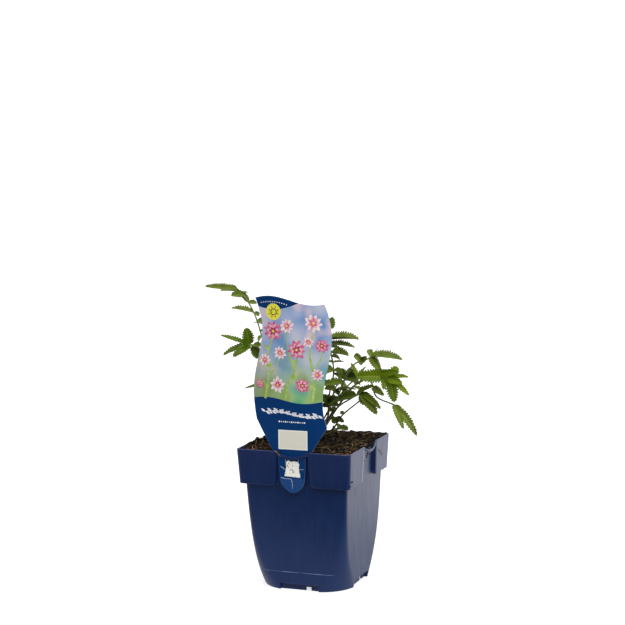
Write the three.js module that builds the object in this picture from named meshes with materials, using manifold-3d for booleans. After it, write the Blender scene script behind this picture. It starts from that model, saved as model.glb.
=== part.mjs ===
// A young great burnet in a square nursery pot, filled with peat soil, with a plastic plant label.
// Millimetres, +Z up. The origin is on the surface that the pot stands on, under its centre, and
// the label is in the slot of the front side, which looks along -Y.
import * as THREE from 'three';
import { mergeVertices } from 'three/addons/utils/BufferGeometryUtils.js';
import Module from 'manifold-3d';

const wasm = await Module();
wasm.setup();

// Driving dimensions

const clearance = 0.3; // between two pieces that touch

const pot = {
  height: 130,
  wall: 1.5,
  collarHeight: 32,
  rimHalf: 55, // half the outer width at the rim
  collarFootHalf: 53.2, // the same at the collar's lower edge
  collarCorner: 4,
  bodyTopHalf: 48.95,
  bodyFootHalf: 43.9,
  topCorner: 4, // corner radius at the body's top, which grows towards the foot
  footCorner: 32,
  cornerPower: 3.4,
  rows: [7, 15, 26, 42, 64], // heights between the body's ends at which its outline is given
  baseUnder: 3.5, // underside of the raised bottom plate
  baseThick: 1.6,
  cornerSteps: 5,
};

const overshoot = 1; // a cutter reaches past the surface that it cuts by this

const recess = {
  topHalf: 14.7, // half widths of the label recess in the middle of each side
  footHalf: 17.1,
  topFloor: 51.4, // distance of the recess floor from the pot's axis
  footFloor: 49.6,
  dipHalf: 14,
  dip: 4, // the rim is lower by this in the recess
  overhang: 5, // the cutter reaches this far past the rim
};

// A band across each recess, which sags from the rim and bulges out in its middle
const strap = { sag: 4.2, height: 2.7, thick: 1.3, reach: 56.3, half: 15.6, rootHalf: 54.8, steps: 8 };

const notch = { half: 18.4, height: 6, depth: 3.4, reach: 20 }; // in the foot, in each side's middle

const vent = { left: 5.4, right: 10.6, reach: 10 }; // a gap in each notch's wall, under the plate

const drain = { radius: 4.5, spread: 24, sides: 10 };

const soil = {
  level: 126.6, // at the front wall
  cells: 16,
  headroom: 12, // the heap may rise this far above the rim
  mound: { x: 2, y: 13, height: 4, reach: 20 },
  heap: { x: -41, y: -27, height: 7.2, reach: 17 },
  backRise: 4, // the soil rises by this towards the back wall, from here on
  backFrom: 18,
  backTo: 50,
  lump: 0.55,
  fineLump: 0.33,
};

const crown = { x: -2.5, y: 12, top: 130.4, depth: 24, radius: 12.5, sides: 12, cutRise: 3.6 };

const roots = {
  count: 4,
  steps: 3,
  thick: 2.4,
  thin: 0.9,
  startPart: 0.6, // how far down the crown they start
  bendPart: 0.8,
  reach: 20,
  moreReach: 5,
  drop: 38,
  moreDrop: 9,
};

const socket = { floor: 126, radius: 1.42, sides: 6 };

const stalk = { foot: 126.4, upright: 5, footRadius: 0.95, tipRadius: 0.55, sides: 4, step: 13 };

// The leaflets: their teeth are fewer and larger than life, by the leaflet's length times its width
const blade = {
  thick: 0.9,
  cut: 0.2, // depth of the valleys between teeth, as a part of the half width
  stemPart: 0.09, // the bare stem at the leaflet's foot, as a part of its length
  stemHalf: 0.45,
  arch: 0.03,
  peak: 0.7, // where a tooth is widest between two valleys
  tilt: 0.35, // how far the upper face leans away from the crown
  towards: [0.37, -0.92, 0.12], // the side that the leaflets open to
  manyTeeth: 330,
  someTeeth: 160,
};

// The leaves stand in three rings on the crown: each ring's radius, number of seats and first angle
const seatRings = [[1.8, 3, 20], [4.9, 6, -5], [8.3, 9, 0]];

const label = {
  front: 53.5, // distance of the sheet's front from the pot's axis, in the slot
  thick: 0.7,
  foot: 92.7,
  crease: 106, // below it the tongue's round tip leans out
  lean: 0.14,
  tipHalf: 1.5,
  creaseHalf: 12.2,
  tongueHalf: 14,
  shoulder: 130.3,
  bow: 0.0032, // the sheet curves back by this times the square of the distance from its middle
  bowRise: 40, // over this height above the shoulder the bow grows from nothing
  columns: 4,
  tongueRows: [92.7, 93.6, 95.8, 99.5, 106, 115, 130.2],
  upperRows: [130.3, 142, 153.7, 158, 169, 181, 194, 207, 220, 233, 246, 256],
  topRow: 264, // its points follow the wave of the top edge
};

// Each side of the label: where it meets the shoulder, the height at which its straight stretch
// ends, and the wave above that, which spreads towards the corner and draws in at the top
const labelLeft = {
  shoulder: -18.6, corner: 158, middle: -32.8, swing: -5.4, crest: 181, period: 126,
  spread: 0, taper: -0.006, taperFrom: 240,
};
const labelRight = {
  shoulder: 18.4, corner: 152.6, middle: 33.3, swing: -4.5, crest: 173, period: 122,
  spread: 0.0045, taper: -0.0017, taperFrom: 234,
};
const labelTop = { middle: 265.6, swing: 3.9, crest: -20, period: 84 };

// The scrap of paper: the corners of its torn outline, across and up
const scrap = {
  thick: 0.5,
  outline: [[-7.8, 108.8], [-0.4, 107.7], [7.1, 106.9], [6.6, 112.2], [5.7, 117.7], [6.2, 119.4], [3, 120.9],
    [-0.1, 121.7], [-2.8, 120.9], [-4.8, 121.7], [-5.6, 118.6], [-6.2, 115.7], [-6.4, 112.8]],
};

// Each leaf has its seat on the crown (ring and place), a tone, a fold in degrees, the line that its
// stalk follows, and its leaflets: where each leaves the stalk, as a part of the stalk's length, its
// tip, its width, and how far its face turns from the sky (0) to the front (1).
const leaves = [
  {
    name: 'leaf_tall_left', seat: [1, 3], tone: 'mid', fold: 42,
    line: [[-16, 12, 158], [-38, 10, 192], [-52, 8, 220], [-56, 7, 234], [-59, 5, 245],
      [-66, 2, 260], [-74, 1, 269]],
    leaflets: [[1, -107, 0, 271, 9, 0.5], [0.98, -88, -8, 268, 8, 0.3], [0.95, -77, -8, 264, 11, 0.7],
      [0.97, -67, 9, 265, 4, 0.3], [0.9, -76, 8, 267, 8, 0.5], [0.9, -60, 13, 255, 6, 0.85],
      [0.83, -77, -8, 252, 10, 0.45], [0.83, -58, 14, 244, 6, 0.85],
      [0.78, -56, 15, 237, 9, 0.85], [0.77, -57, -2, 238, 3, 0.3],
      [0.72, -50, 14, 224, 8, 0.4], [0.69, -53, -2, 221, 5, 0.6]],
  },
  {
    name: 'leaf_low_left', seat: [2, 5], tone: 'fresh', fold: 24,
    line: [[-14, 4, 160], [-36, -4, 198], [-52, -8, 217], [-59, -10, 219]],
    leaflets: [[1, -84, -18, 228, 7, 0.4], [1, -60, -13, 235, 13, 1], [1, -80, -22, 210, 9, 0.4],
      [0.99, -69, -24, 209, 11, 0.65], [0.97, -53, -2, 205, 11, 0.6],
      [0.97, -44, -15, 219, 8, 0.4], [0.85, -38, 6, 212, 9, 0.4]],
  },
  {
    name: 'leaf_small_left', seat: [2, 4], tone: 'mid', fold: 30,
    line: [[-20, 9, 150], [-38, 5, 168], [-50, 2, 180]],
    leaflets: [[1, -69, 0, 176, 5, 0.4], [0.85, -50, 16, 180, 8, 0.3], [0.82, -46, -14, 180, 8, 0.4],
      [0.66, -30, 20, 173, 7, 0.3], [0.62, -28, -8, 173, 7, 0.3]],
  },
  {
    name: 'leaf_upright', seat: [0, 2], tone: 'mid', fold: 46,
    line: [[9, 10, 146], [10, 12, 159], [10, 16, 173], [13.6, 18, 192], [10.5, 20, 208], [6.5, 21, 221],
      [9, 21, 232]],
    leaflets: [[1, 12, 20, 243, 12, 0.9], [0.9, 39, 18, 223, 17, 0.42], [0.86, 34, 20, 215, 12, 0.4],
      [0.84, 18, 30, 211, 8, 0.3], [0.79, 30, 14, 208, 15, 0.45], [0.76, 16, 28, 202, 9, 0.45],
      [0.71, 22, 24, 201, 5, 0.3], [0.71, 5, 17, 201, 6, 0.3], [0.65, 4, 14, 191, 15, 0.5],
      [0.64, 23, 16, 192, 9, 0.5], [0.62, 23, 14, 186, 6, 0.5], [0.94, -13, 26, 224, 14, 0.3],
      [0.88, -12, 26, 214, 12, 0.3]],
  },
  {
    name: 'leaf_high_right', seat: [0, 0], tone: 'mid', fold: 42,
    line: [[12, 12, 151], [18, 15, 168], [25, 14, 184], [33, 12, 198], [40, 10, 203], [51, 6, 207],
      [56, 4, 210]],
    leaflets: [[1, 86, 2, 208, 15, 0.42], [0.99, 67, -4, 198, 12, 0.85], [0.99, 50, 12, 215, 8, 0.75],
      [1, 61, 8, 217, 1.6, 0], [0.87, 36, 14, 210, 8.5, 0.85], [0.88, 51, 4, 210, 8, 0.85],
      [0.86, 47, 0, 202, 9, 0.85], [0.61, 42, 12, 182, 8, 0.4], [0.59, 7, 8, 181, 12, 0.5]],
  },
  {
    name: 'leaf_young', seat: [1, 0], tone: 'young', fold: 20,
    line: [[17.6, 6.5, 160], [25, 7, 174], [37, 4, 186], [53, -4, 195], [69, -10, 196], [80, -14, 194]],
    leaflets: [[1, 85, -10, 204, 11, 0.9], [1, 98, -18, 196, 7, 0.45], [0.99, 101, -26, 181, 7, 0.55],
      [0.99, 85, -19, 173, 13, 1], [0.96, 75, -20, 184, 8, 0.85],
      [0.97, 50, -22, 195, 14, 0.85], [0.8, 91, -24, 202, 9, 0.6], [0.66, 37, 0, 204, 5, 0.45],
      [0.95, 94, -24, 191, 10, 0.9]],
  },
  {
    name: 'leaf_fore_right', seat: [1, 5], tone: 'mid', fold: 38,
    line: [[15, 4, 153], [26, -1, 164], [39, -9, 172], [48, -14, 177], [54, -16, 180]],
    leaflets: [[0.9, 67, -20, 187, 10, 0.4], [0.91, 25, -4, 169, 13, 0.35],
      [0.99, 70, -24, 162, 14, 0.75], [0.97, 55, -13, 168, 11, 0.85],
      [0.98, 73, -22, 167, 9, 0.7]],
  },
  {
    name: 'leaf_arching', seat: [1, 1], tone: 'mid', fold: 34,
    line: [[10, 19, 149], [21, 16, 164], [39, 8, 183], [51, 2, 189], [58, -3, 187], [64, -9, 176],
      [83, -15, 170]],
    leaflets: [[1, 106, -20, 144, 10, 0.8], [1, 96, -28, 151, 8.5, 0.8], [0.77, 74, -16, 178, 9, 0.75],
      [0.7, 61, 16, 187, 9, 0.5], [0.61, 46, 18, 194, 8, 0.3]],
  },
  {
    name: 'leaf_inner_right', seat: [0, 1], tone: 'deep', fold: 34,
    line: [[8, 24, 160], [12, 26, 176], [19, 25, 182], [26, 22, 186]],
    leaflets: [[0.7, -1, 28, 183, 9, 0.5], [1, 38, 18, 190, 11, 0.75], [1, 27, 28, 195, 10, 0.7],
      [0.95, 12, 32, 193, 12, 0.7]],
  },
  {
    name: 'leaf_flat_right', seat: [1, 4], tone: 'deep', fold: 30,
    line: [[11, 6, 151], [16, 3, 169], [22, 2, 179]],
    leaflets: [[1, 43, -2, 180, 5, 0.35], [0.98, 36, -4, 179, 4, 0.35], [0.97, 25, 0, 174, 6, 0.5],
      [0.99, 10, 2, 179, 8, 0.4]],
  },
  {
    name: 'leaf_low_right', seat: [2, 7], tone: 'deep', fold: 30,
    line: [[13, 1, 149], [15, -1, 159], [16, -3, 167]],
    leaflets: [[1, 11, -10, 174, 12, 0.6], [0.99, 32, -18, 174, 12, 0.7], [0.96, 30, -12, 166, 9, 0.6],
      [0.95, 12, -9, 164, 8, 0.6], [0.81, 20, 6, 161, 5, 0.5], [0.75, 16, -7, 156, 5, 0.5]],
  },
  {
    name: 'leaf_thread', seat: [2, 0], tone: 'fresh', fold: 22,
    line: [[17, 8, 142], [28, 0, 155], [47, -6, 170]],
    leaflets: [[1, 51, -7, 173, 4, 0.5], [0.68, 28, -6, 158, 5, 0.35]],
  },
  {
    name: 'leaf_basal', seat: [2, 8], tone: 'deep', fold: 26,
    line: [[24, -1, 143], [23, -2, 149], [23, -2, 154]],
    leaflets: [[0.99, 32, -6, 150, 6, 0.7], [0.97, 21, -8, 149, 9, 0.85]],
  },
  {
    name: 'leaf_basal_right', seat: [2, 1], tone: 'mid', fold: 24,
    line: [[12, 19, 137], [17, 20, 139]],
    leaflets: [[0.99, 27, 17, 139, 11, 0.45], [0.95, 19, 24, 141, 9, 0.5], [0.86, 14, 12, 140, 8, 0.7]],
  },
  {
    name: 'leaf_back_left', seat: [2, 3], tone: 'mid', fold: 34,
    line: [[-14, 24, 160], [-27, 34, 186], [-42, 42, 200]],
    leaflets: [[1, -66, 50, 203, 13, 0.2], [0.9, -36, 56, 204, 11, 0], [0.88, -54, 26, 200, 12, 0.3],
      [0.74, -20, 53, 190, 11, 0], [0.72, -44, 22, 188, 11, 0.3], [0.58, -8, 42, 173, 9, 0],
      [0.55, -33, 27, 167, 9, 0.3]],
  },
  {
    name: 'leaf_back_tall', seat: [1, 2], tone: 'mid', fold: 40,
    line: [[-6, 24, 165], [-14, 32, 205], [-24, 34, 234]],
    leaflets: [[1, -38, 34, 256, 11, 0.5], [0.93, -50, 30, 238, 13, 0.2], [0.91, -6, 42, 242, 12, 0.2],
      [0.82, -40, 30, 222, 13, 0.2], [0.8, 2, 42, 228, 12, 0], [0.69, -32, 32, 206, 11, 0.2],
      [0.67, 6, 40, 208, 11, 0]],
  },
  {
    name: 'leaf_back_right', seat: [2, 2], tone: 'mid', fold: 34,
    line: [[10, 32, 154], [20, 42, 172], [32, 46, 180]],
    leaflets: [[1, 48, 46, 181, 11, 0], [0.88, 32, 55, 192, 9, 0], [0.84, 38, 30, 172, 9, 0.2],
      [0.68, 8, 54, 178, 9, 0]],
  },
  {
    name: 'leaf_behind_label', seat: [2, 6], tone: 'fresh', fold: 30,
    line: [[-4, -6, 156], [-10, -16, 186], [-16, -20, 206]],
    leaflets: [[1, -24, -24, 226, 11, 0.3], [0.9, -38, -22, 212, 11, 0], [0.88, 6, -24, 212, 11, 0],
      [0.72, -32, -18, 192, 10, 0], [0.7, 10, -22, 190, 10, 0]],
  },
];

// Materials

const plain = (color, roughness) => new THREE.MeshStandardMaterial({ color, roughness, metalness: 0 });

const materials = {
  pot: plain(0x1d2a48, 0.5),
  soil: plain(0x33241b, 0.95),
  crown: plain(0x5b4630, 0.9),
  label: plain(0x0a2f66, 0.3),
  scrap: plain(0xeae6dc, 0.8),
  young: plain(0x6f930f, 0.5),
  fresh: plain(0x527f14, 0.5),
  mid: plain(0x476b1a, 0.55),
  deep: plain(0x31501a, 0.6),
};

// Solids

// A closed surface through rings with the same even number of points. The second half of each
// ring lies under the first half, so its quads take the other diagonal, and the ends are strips.
function loft(rings) {
  const count = rings[0].length;
  const half = count / 2;
  const index = [];
  for (let row = 0; row + 1 < rings.length; row += 1) {
    for (let column = 0; column < count; column += 1) {
      const next = (column + 1) % count;
      const [a, b, c, d] = [
        row * count + column, row * count + next, (row + 1) * count + next, (row + 1) * count + column,
      ];
      index.push(...(column < half - 1 ? [a, b, c, a, c, d] : [a, b, d, b, c, d]));
    }
  }
  const last = (rings.length - 1) * count;
  for (let i = 0; i < half - 1; i += 1) {
    const [a, b, c, d] = [i, i + 1, count - 2 - i, count - 1 - i];
    index.push(a, c, b, a, d, c);
    index.push(last + a, last + b, last + c, last + a, last + c, last + d);
  }
  const geometry = new THREE.BufferGeometry();
  const points = rings.flat().flatMap((p) => [p.x, p.y, p.z]);
  geometry.setAttribute('position', new THREE.Float32BufferAttribute(points, 3));
  geometry.setIndex(index);
  return geometry;
}

function solid(geometry) {
  geometry.deleteAttribute('normal');
  geometry.deleteAttribute('uv');
  const merged = mergeVertices(geometry);
  const mesh = new wasm.Mesh({
    numProp: 3,
    vertProperties: new Float32Array(merged.attributes.position.array),
    triVerts: new Uint32Array(merged.index.array),
  });
  return new wasm.Manifold(mesh);
}

function named(name, body, material) {
  const { vertProperties, triVerts } = body.getMesh();
  const geometry = new THREE.BufferGeometry();
  geometry.setAttribute('position', new THREE.Float32BufferAttribute(vertProperties, 3));
  geometry.setIndex(Array.from(triVerts));
  geometry.computeVertexNormals();
  const mesh = new THREE.Mesh(geometry, material);
  mesh.name = name;
  return mesh;
}

function post(x, y, radius, z0, z1, sides) {
  const geometry = new THREE.CylinderGeometry(radius, radius, z1 - z0, sides);
  return solid(geometry.rotateX(Math.PI / 2).translate(x, y, (z0 + z1) / 2));
}

// The same solid on each of the four sides of the pot
function onFourSides(makeGeometry) {
  const quarter = Math.PI / 2;
  const copies = [0, 1, 2, 3].map((side) => solid(makeGeometry().rotateZ(side * quarter)));
  return copies.reduce((whole, copy) => whole.add(copy));
}

// Pot

function roundedSquare(halfWidth, corner, z) {
  const ring = [];
  const middle = halfWidth - corner;
  for (let side = 0; side < 4; side += 1) {
    for (let step = 0; step < pot.cornerSteps; step += 1) {
      const angle = (side + step / (pot.cornerSteps - 1)) * (Math.PI / 2);
      const [signX, signY] = [side === 0 || side === 3 ? 1 : -1, side < 2 ? 1 : -1];
      const x = signX * middle + corner * Math.cos(angle);
      const y = signY * middle + corner * Math.sin(angle);
      ring.push(new THREE.Vector3(x, y, z));
    }
  }
  return ring;
}

function bodyRing(z, inset) {
  const rise = Math.min(z / (pot.height - pot.collarHeight), 1);
  const halfWidth = pot.bodyFootHalf + (pot.bodyTopHalf - pot.bodyFootHalf) * rise;
  const corner = pot.topCorner + (pot.footCorner - pot.topCorner) * (1 - rise) ** pot.cornerPower;
  return roundedSquare(halfWidth - inset, corner - inset, z);
}

function bodyLoft(bottom, top, inset) {
  const between = pot.rows.filter((z) => z > bottom && z < top);
  return loft([bottom, ...between, top].map((z) => bodyRing(z, inset)));
}

function collarLoft(bottom, top, inset) {
  const foot = pot.height - pot.collarHeight;
  const halfAt = (z) => {
    const rise = (z - foot) / pot.collarHeight;
    return pot.collarFootHalf + (pot.rimHalf - pot.collarFootHalf) * rise - inset;
  };
  return loft([bottom, top].map((z) => roundedSquare(halfAt(z), pot.collarCorner - inset, z)));
}

// The recess of the front side, from its floor outwards, grown by margin on its sides and inwards
function recessWedge(margin, bottom, top) {
  const foot = pot.height - pot.collarHeight;
  const outside = pot.rimHalf + recess.overhang;
  const corners = (z) => {
    const rise = (z - foot) / pot.collarHeight;
    const halfWidth = recess.footHalf + (recess.topHalf - recess.footHalf) * rise + margin;
    const floor = recess.footFloor + (recess.topFloor - recess.footFloor) * rise - margin;
    return [[-halfWidth, -outside], [halfWidth, -outside], [halfWidth, -floor], [-halfWidth, -floor]]
      .map(([x, y]) => new THREE.Vector3(x, y, z));
  };
  return loft([corners(bottom), corners(top)]);
}

function notchBox(margin) {
  const wallAt = pot.bodyFootHalf - notch.depth - margin;
  const top = notch.height + margin;
  return new THREE.BoxGeometry(2 * (notch.half + margin), notch.reach, top + overshoot)
    .translate(0, -wallAt - notch.reach / 2, (top - overshoot) / 2);
}

function strapGeometry() {
  const rings = [];
  for (let i = 0; i <= strap.steps; i += 1) {
    const x = strap.half * ((2 * i) / strap.steps - 1);
    const middle = 1 - (x / strap.half) ** 2;
    const outer = -(strap.rootHalf + (strap.reach - strap.rootHalf) * middle);
    const top = pot.height - strap.sag * middle;
    const [inner, bottom] = [outer + strap.thick, top - strap.height];
    rings.push([[inner, top], [outer, top], [outer, bottom], [inner, bottom]]
      .map(([y, z]) => new THREE.Vector3(x, y, z)));
  }
  return loft(rings);
}

// The room inside the pot, above its bottom plate, less a margin
function potInside(margin, top) {
  const foot = pot.height - pot.collarHeight;
  const inset = pot.wall + margin;
  const floor = pot.baseUnder + pot.baseThick + margin;
  const backing = onFourSides(() => recessWedge(inset, foot, top + overshoot));
  const collarRoom = solid(collarLoft(foot + inset, top, inset)).subtract(backing);
  return solid(bodyLoft(floor, top, inset)).subtract(onFourSides(() => notchBox(inset)))
    .subtract(backing).add(collarRoom);
}

function makePot() {
  const foot = pot.height - pot.collarHeight;
  const recesses = onFourSides(() => recessWedge(0, foot - overshoot, pot.height + overshoot));
  const collar = solid(collarLoft(foot, pot.height, 0)).subtract(recesses);
  const under = solid(bodyLoft(-overshoot, pot.baseUnder, pot.wall))
    .subtract(onFourSides(() => notchBox(pot.wall)));
  const dips = onFourSides(() => new THREE.BoxGeometry(2 * recess.dipHalf, 4 * recess.dip, 2 * recess.dip)
    .translate(0, -recess.topFloor, pot.height));
  const ventWidth = vent.right - vent.left;
  const vents = onFourSides(() => new THREE.BoxGeometry(ventWidth, vent.reach, 2 * pot.baseUnder)
    .translate(vent.left + ventWidth / 2, notch.depth - pot.bodyFootHalf, 0));
  let body = solid(bodyLoft(0, foot + overshoot, 0)).subtract(onFourSides(() => notchBox(0))).add(collar)
    .subtract(potInside(0, pot.height + overshoot)).subtract(under).subtract(dips).subtract(vents)
    .add(onFourSides(strapGeometry));
  const holeTop = pot.baseUnder + pot.baseThick + overshoot;
  for (const [x, y] of [[0, 0], [1, 1], [-1, 1], [-1, -1], [1, -1]]) {
    body = body.subtract(post(x * drain.spread, y * drain.spread, drain.radius, 0, holeTop, drain.sides));
  }
  return body;
}

// Soil

function soilHeight(x, y) {
  const hill = ({ x: hx, y: hy, height, reach }) => height
    * Math.exp(-((x - hx) ** 2 + (y - hy) ** 2) / reach ** 2);
  const lump = Math.sin(x * 0.31 + 1.3 * Math.sin(y * 0.17)) * Math.cos(y * 0.27 + 0.6);
  const fineLump = Math.sin(x * 0.67 + y * 0.41);
  const back = soil.backRise * THREE.MathUtils.smoothstep(y, soil.backFrom, soil.backTo);
  return soil.level + hill(soil.mound) + hill(soil.heap) + back + soil.lump * lump + soil.fineLump * fineLump;
}

function soilTop() {
  const rings = [];
  const [reach, n] = [pot.rimHalf + overshoot, soil.cells];
  for (let i = 0; i <= n; i += 1) {
    const y = reach * ((2 * i) / n - 1);
    const top = [];
    const bottom = [];
    for (let j = 0; j <= n; j += 1) {
      const x = reach * ((2 * j) / n - 1);
      top.push(new THREE.Vector3(x, y, soilHeight(x, y)));
      bottom.unshift(new THREE.Vector3(x, y, 0));
    }
    rings.push([...bottom, ...top]);
  }
  return loft(rings);
}

function makeSoil(crownHole) {
  return potInside(clearance, pot.height + soil.headroom).intersect(solid(soilTop())).subtract(crownHole);
}

// Places along a curve from the first one to its end, in even steps
function evenPlaces(first, steps) {
  return Array.from({ length: steps + 1 }, (_, i) => Math.min(first + ((1 - first) * i) / steps, 1));
}

// Crown: the knobbly rootstock at the surface and its thick roots

function crownBody(margin) {
  const profile = [[0.92, 0], [1, -0.15], [0.85, -0.5], [0.35, -1]];
  const rings = profile.map(([width, drop]) => {
    const ring = [];
    for (let i = 0; i < crown.sides; i += 1) {
      const angle = (2 * Math.PI * i) / crown.sides;
      const knob = 1 + 0.06 * Math.sin(3 * angle + 8 * drop) + 0.03 * Math.cos(5 * angle);
      const radius = crown.radius * width * knob + margin;
      let z = crown.top + crown.depth * drop;
      if (margin > 0 && drop === 0) z += crown.cutRise;
      if (drop === -1) z -= margin;
      const [x, y] = [crown.x + radius * Math.cos(angle), crown.y + radius * Math.sin(angle)];
      ring.push(new THREE.Vector3(x, y, z));
    }
    return ring;
  });
  return solid(loft(rings.reverse()));
}

function rootBody(turn, reach, drop, margin) {
  const start = new THREE.Vector3(crown.x, crown.y, crown.top - crown.depth * roots.startPart);
  const way = new THREE.Vector3(Math.cos(turn), Math.sin(turn), 0);
  const curve = new THREE.QuadraticBezierCurve3(
    start,
    start.clone().addScaledVector(way, reach * roots.bendPart),
    start.clone().addScaledVector(way, reach).setZ(start.z - drop),
  );
  const radius = (t) => roots.thick + (roots.thin - roots.thick) * t + margin;
  return solid(tube(curve, evenPlaces(0, roots.steps), radius, margin));
}

function makeCrown(margin) {
  let body = crownBody(margin);
  for (let i = 0; i < roots.count; i += 1) {
    const turn = (2 * Math.PI * (i + 0.3)) / roots.count;
    const reach = roots.reach + roots.moreReach * (i % 3);
    const drop = roots.drop + roots.moreDrop * ((2 * i) % 5);
    body = body.add(rootBody(turn, reach, drop, margin));
  }
  return body;
}

// Leaves

// A tube through the given places of a curve, with its radius by place, and longer by a margin
function tube(curve, places, radiusAt, margin = 0) {
  const rings = [];
  let side = new THREE.Vector3(1, 0.2, 0);
  for (const t of places) {
    const along = curve.getTangentAt(t);
    const longer = margin * Math.sign(Math.round(2 * t - 1));
    const centre = curve.getPointAt(t).addScaledVector(along, longer);
    side = side.clone().addScaledVector(along, -side.dot(along)).normalize();
    const up = new THREE.Vector3().crossVectors(along, side);
    const ring = [];
    for (let j = 0; j < stalk.sides; j += 1) {
      const angle = (2 * Math.PI * (j + 0.5)) / stalk.sides;
      ring.push(centre.clone()
        .addScaledVector(side, radiusAt(t) * Math.cos(angle))
        .addScaledVector(up, radiusAt(t) * Math.sin(angle)));
    }
    rings.push(ring);
  }
  return loft(rings);
}

const halfWidthAt = (t) => Math.sin(Math.PI * t ** 0.78) ** (0.5 + 0.05 * t);

// One leaflet: a thin blade folded up along its midrib, arched along its length, with a cut edge
function leafletSolid(from, to, width, face, fold, outward) {
  const along = to.clone().sub(from);
  const length = along.length();
  along.normalize();
  const up = new THREE.Vector3(0, 0, 1).addScaledVector(outward, blade.tilt).multiplyScalar(1 - face);
  up.addScaledVector(new THREE.Vector3(...blade.towards), face);
  up.addScaledVector(along, -up.dot(along)).normalize();
  const side = new THREE.Vector3().crossVectors(along, up);
  const rise = Math.tan(THREE.MathUtils.degToRad(fold));
  const spread = Math.cos(THREE.MathUtils.degToRad(fold)) * (width / 2);
  const size = length * width;
  const teeth = size > blade.manyTeeth ? 4 : size > blade.someTeeth ? 3 : 2;

  const stations = [[0, blade.stemHalf], [blade.stemPart, blade.stemHalf]];
  const step = (1 - blade.stemPart) / teeth;
  for (let i = 0; i < teeth; i += 1) {
    const valley = blade.stemPart + step * i;
    const tip = valley + step * blade.peak;
    if (i > 0) stations.push([valley, spread * halfWidthAt(valley) * (1 - blade.cut)]);
    stations.push([tip, Math.max(spread * halfWidthAt(tip), blade.stemHalf)]);
  }
  stations.push([1, blade.stemHalf * 0.8]);

  const rings = stations.map(([t, half]) => {
    const bend = blade.arch * length * 4 * t * (1 - t);
    const rib = from.clone().addScaledVector(along, t * length).addScaledVector(up, bend);
    const lift = Math.max(half - blade.stemHalf, 0) * rise;
    const edge = (sign) => rib.clone().addScaledVector(side, sign * half).addScaledVector(up, lift);
    const upper = [edge(-1), rib, edge(1)];
    const lower = upper.map((p) => p.clone().addScaledVector(up, -blade.thick)).reverse();
    return [...upper, ...lower];
  });
  return solid(loft(rings));
}

function seatPoint([ring, place], z) {
  const [radius, count, first] = seatRings[ring];
  const angle = THREE.MathUtils.degToRad(first + (360 / count) * place);
  return new THREE.Vector3(crown.x + radius * Math.cos(angle), crown.y + radius * Math.sin(angle), z);
}

function makeLeaf({ seat, line, leaflets, fold }) {
  const points = [
    seatPoint(seat, stalk.foot),
    seatPoint(seat, stalk.foot + stalk.upright),
    ...line.map((p) => new THREE.Vector3(...p)),
  ];
  const curve = new THREE.CatmullRomCurve3(points, false, 'centripetal');
  const taper = (t) => stalk.footRadius + (stalk.tipRadius - stalk.footRadius) * t;
  const steps = Math.max(3, Math.round(curve.getLength() / stalk.step));
  let body = solid(tube(curve, [0, ...evenPlaces(stalk.upright / curve.getLength(), steps)], taper));
  for (const [at, x, y, z, width, face] of leaflets) {
    const from = curve.getPointAt(at);
    const outward = new THREE.Vector3(from.x - crown.x, from.y - crown.y, 0).normalize();
    body = body.add(leafletSolid(from, new THREE.Vector3(x, y, z), width, face, fold, outward));
  }
  return body;
}

// Label: a thin sheet with wavy sides, straight shoulders and a tongue that goes into the slot

function wave(at, { middle, swing, crest, period }) {
  return middle + swing * Math.cos((2 * Math.PI * (at - crest)) / period);
}

function sideAt(z, side) {
  const free = (height) => wave(height, side) + side.spread * Math.max(side.crest - height, 0) ** 2
    + side.taper * Math.max(height - side.taperFrom, 0) ** 2;
  if (z >= side.corner) return free(z);
  const part = (z - label.shoulder) / (side.corner - label.shoulder);
  return side.shoulder + (free(side.corner) - side.shoulder) * part;
}

function tongueHalfAt(z) {
  if (z < label.crease) {
    const drop = (label.crease - z) / (label.crease - label.foot);
    return Math.max(label.creaseHalf * Math.sqrt(1 - drop ** 2), label.tipHalf);
  }
  const part = (z - label.crease) / (label.shoulder - label.crease);
  return label.creaseHalf + (label.tongueHalf - label.creaseHalf) * part;
}

function makeLabel() {
  const rowAt = (z, left, right, isTop) => {
    const front = [];
    for (let i = 0; i <= label.columns; i += 1) {
      const x = left + ((right - left) * i) / label.columns;
      const bow = label.bow * Math.min(Math.max((z - label.shoulder) / label.bowRise, 0), 1) * x * x;
      const lean = label.lean * Math.max(label.crease - z, 0);
      front.push(new THREE.Vector3(x, -label.front + bow - lean, isTop ? wave(x, labelTop) : z));
    }
    const back = front.map((p) => p.clone().setY(p.y + label.thick)).reverse();
    return [...front, ...back];
  };
  return solid(loft([
    ...label.tongueRows.map((z) => rowAt(z, -tongueHalfAt(z), tongueHalfAt(z), false)),
    ...label.upperRows.map((z) => rowAt(z, sideAt(z, labelLeft), sideAt(z, labelRight), false)),
    rowAt(label.topRow, sideAt(label.topRow, labelLeft), sideAt(label.topRow, labelRight), true),
  ]));
}

function makeScrap() {
  const shape = new THREE.Shape(scrap.outline.map(([x, z]) => new THREE.Vector2(x, z)));
  const geometry = new THREE.ExtrudeGeometry(shape, { depth: scrap.thick, bevelEnabled: false });
  return solid(geometry.rotateX(Math.PI / 2).translate(0, -label.front - clearance, 0));
}

// Assembly

const group = new THREE.Group();
group.add(named('pot', makePot(), materials.pot));
group.add(named('soil', makeSoil(makeCrown(clearance)), materials.soil));

let crownSolid = makeCrown(0);
const socketTop = crown.top + overshoot;
for (const { seat } of leaves) {
  const { x, y } = seatPoint(seat, 0);
  crownSolid = crownSolid.subtract(post(x, y, socket.radius, socket.floor, socketTop, socket.sides));
}
group.add(named('crown', crownSolid, materials.crown));

for (const leaf of leaves) group.add(named(leaf.name, makeLeaf(leaf), materials[leaf.tone]));

group.add(named('label', makeLabel(), materials.label));
group.add(named('paper_scrap', makeScrap(), materials.scrap));

export default group;
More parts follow.
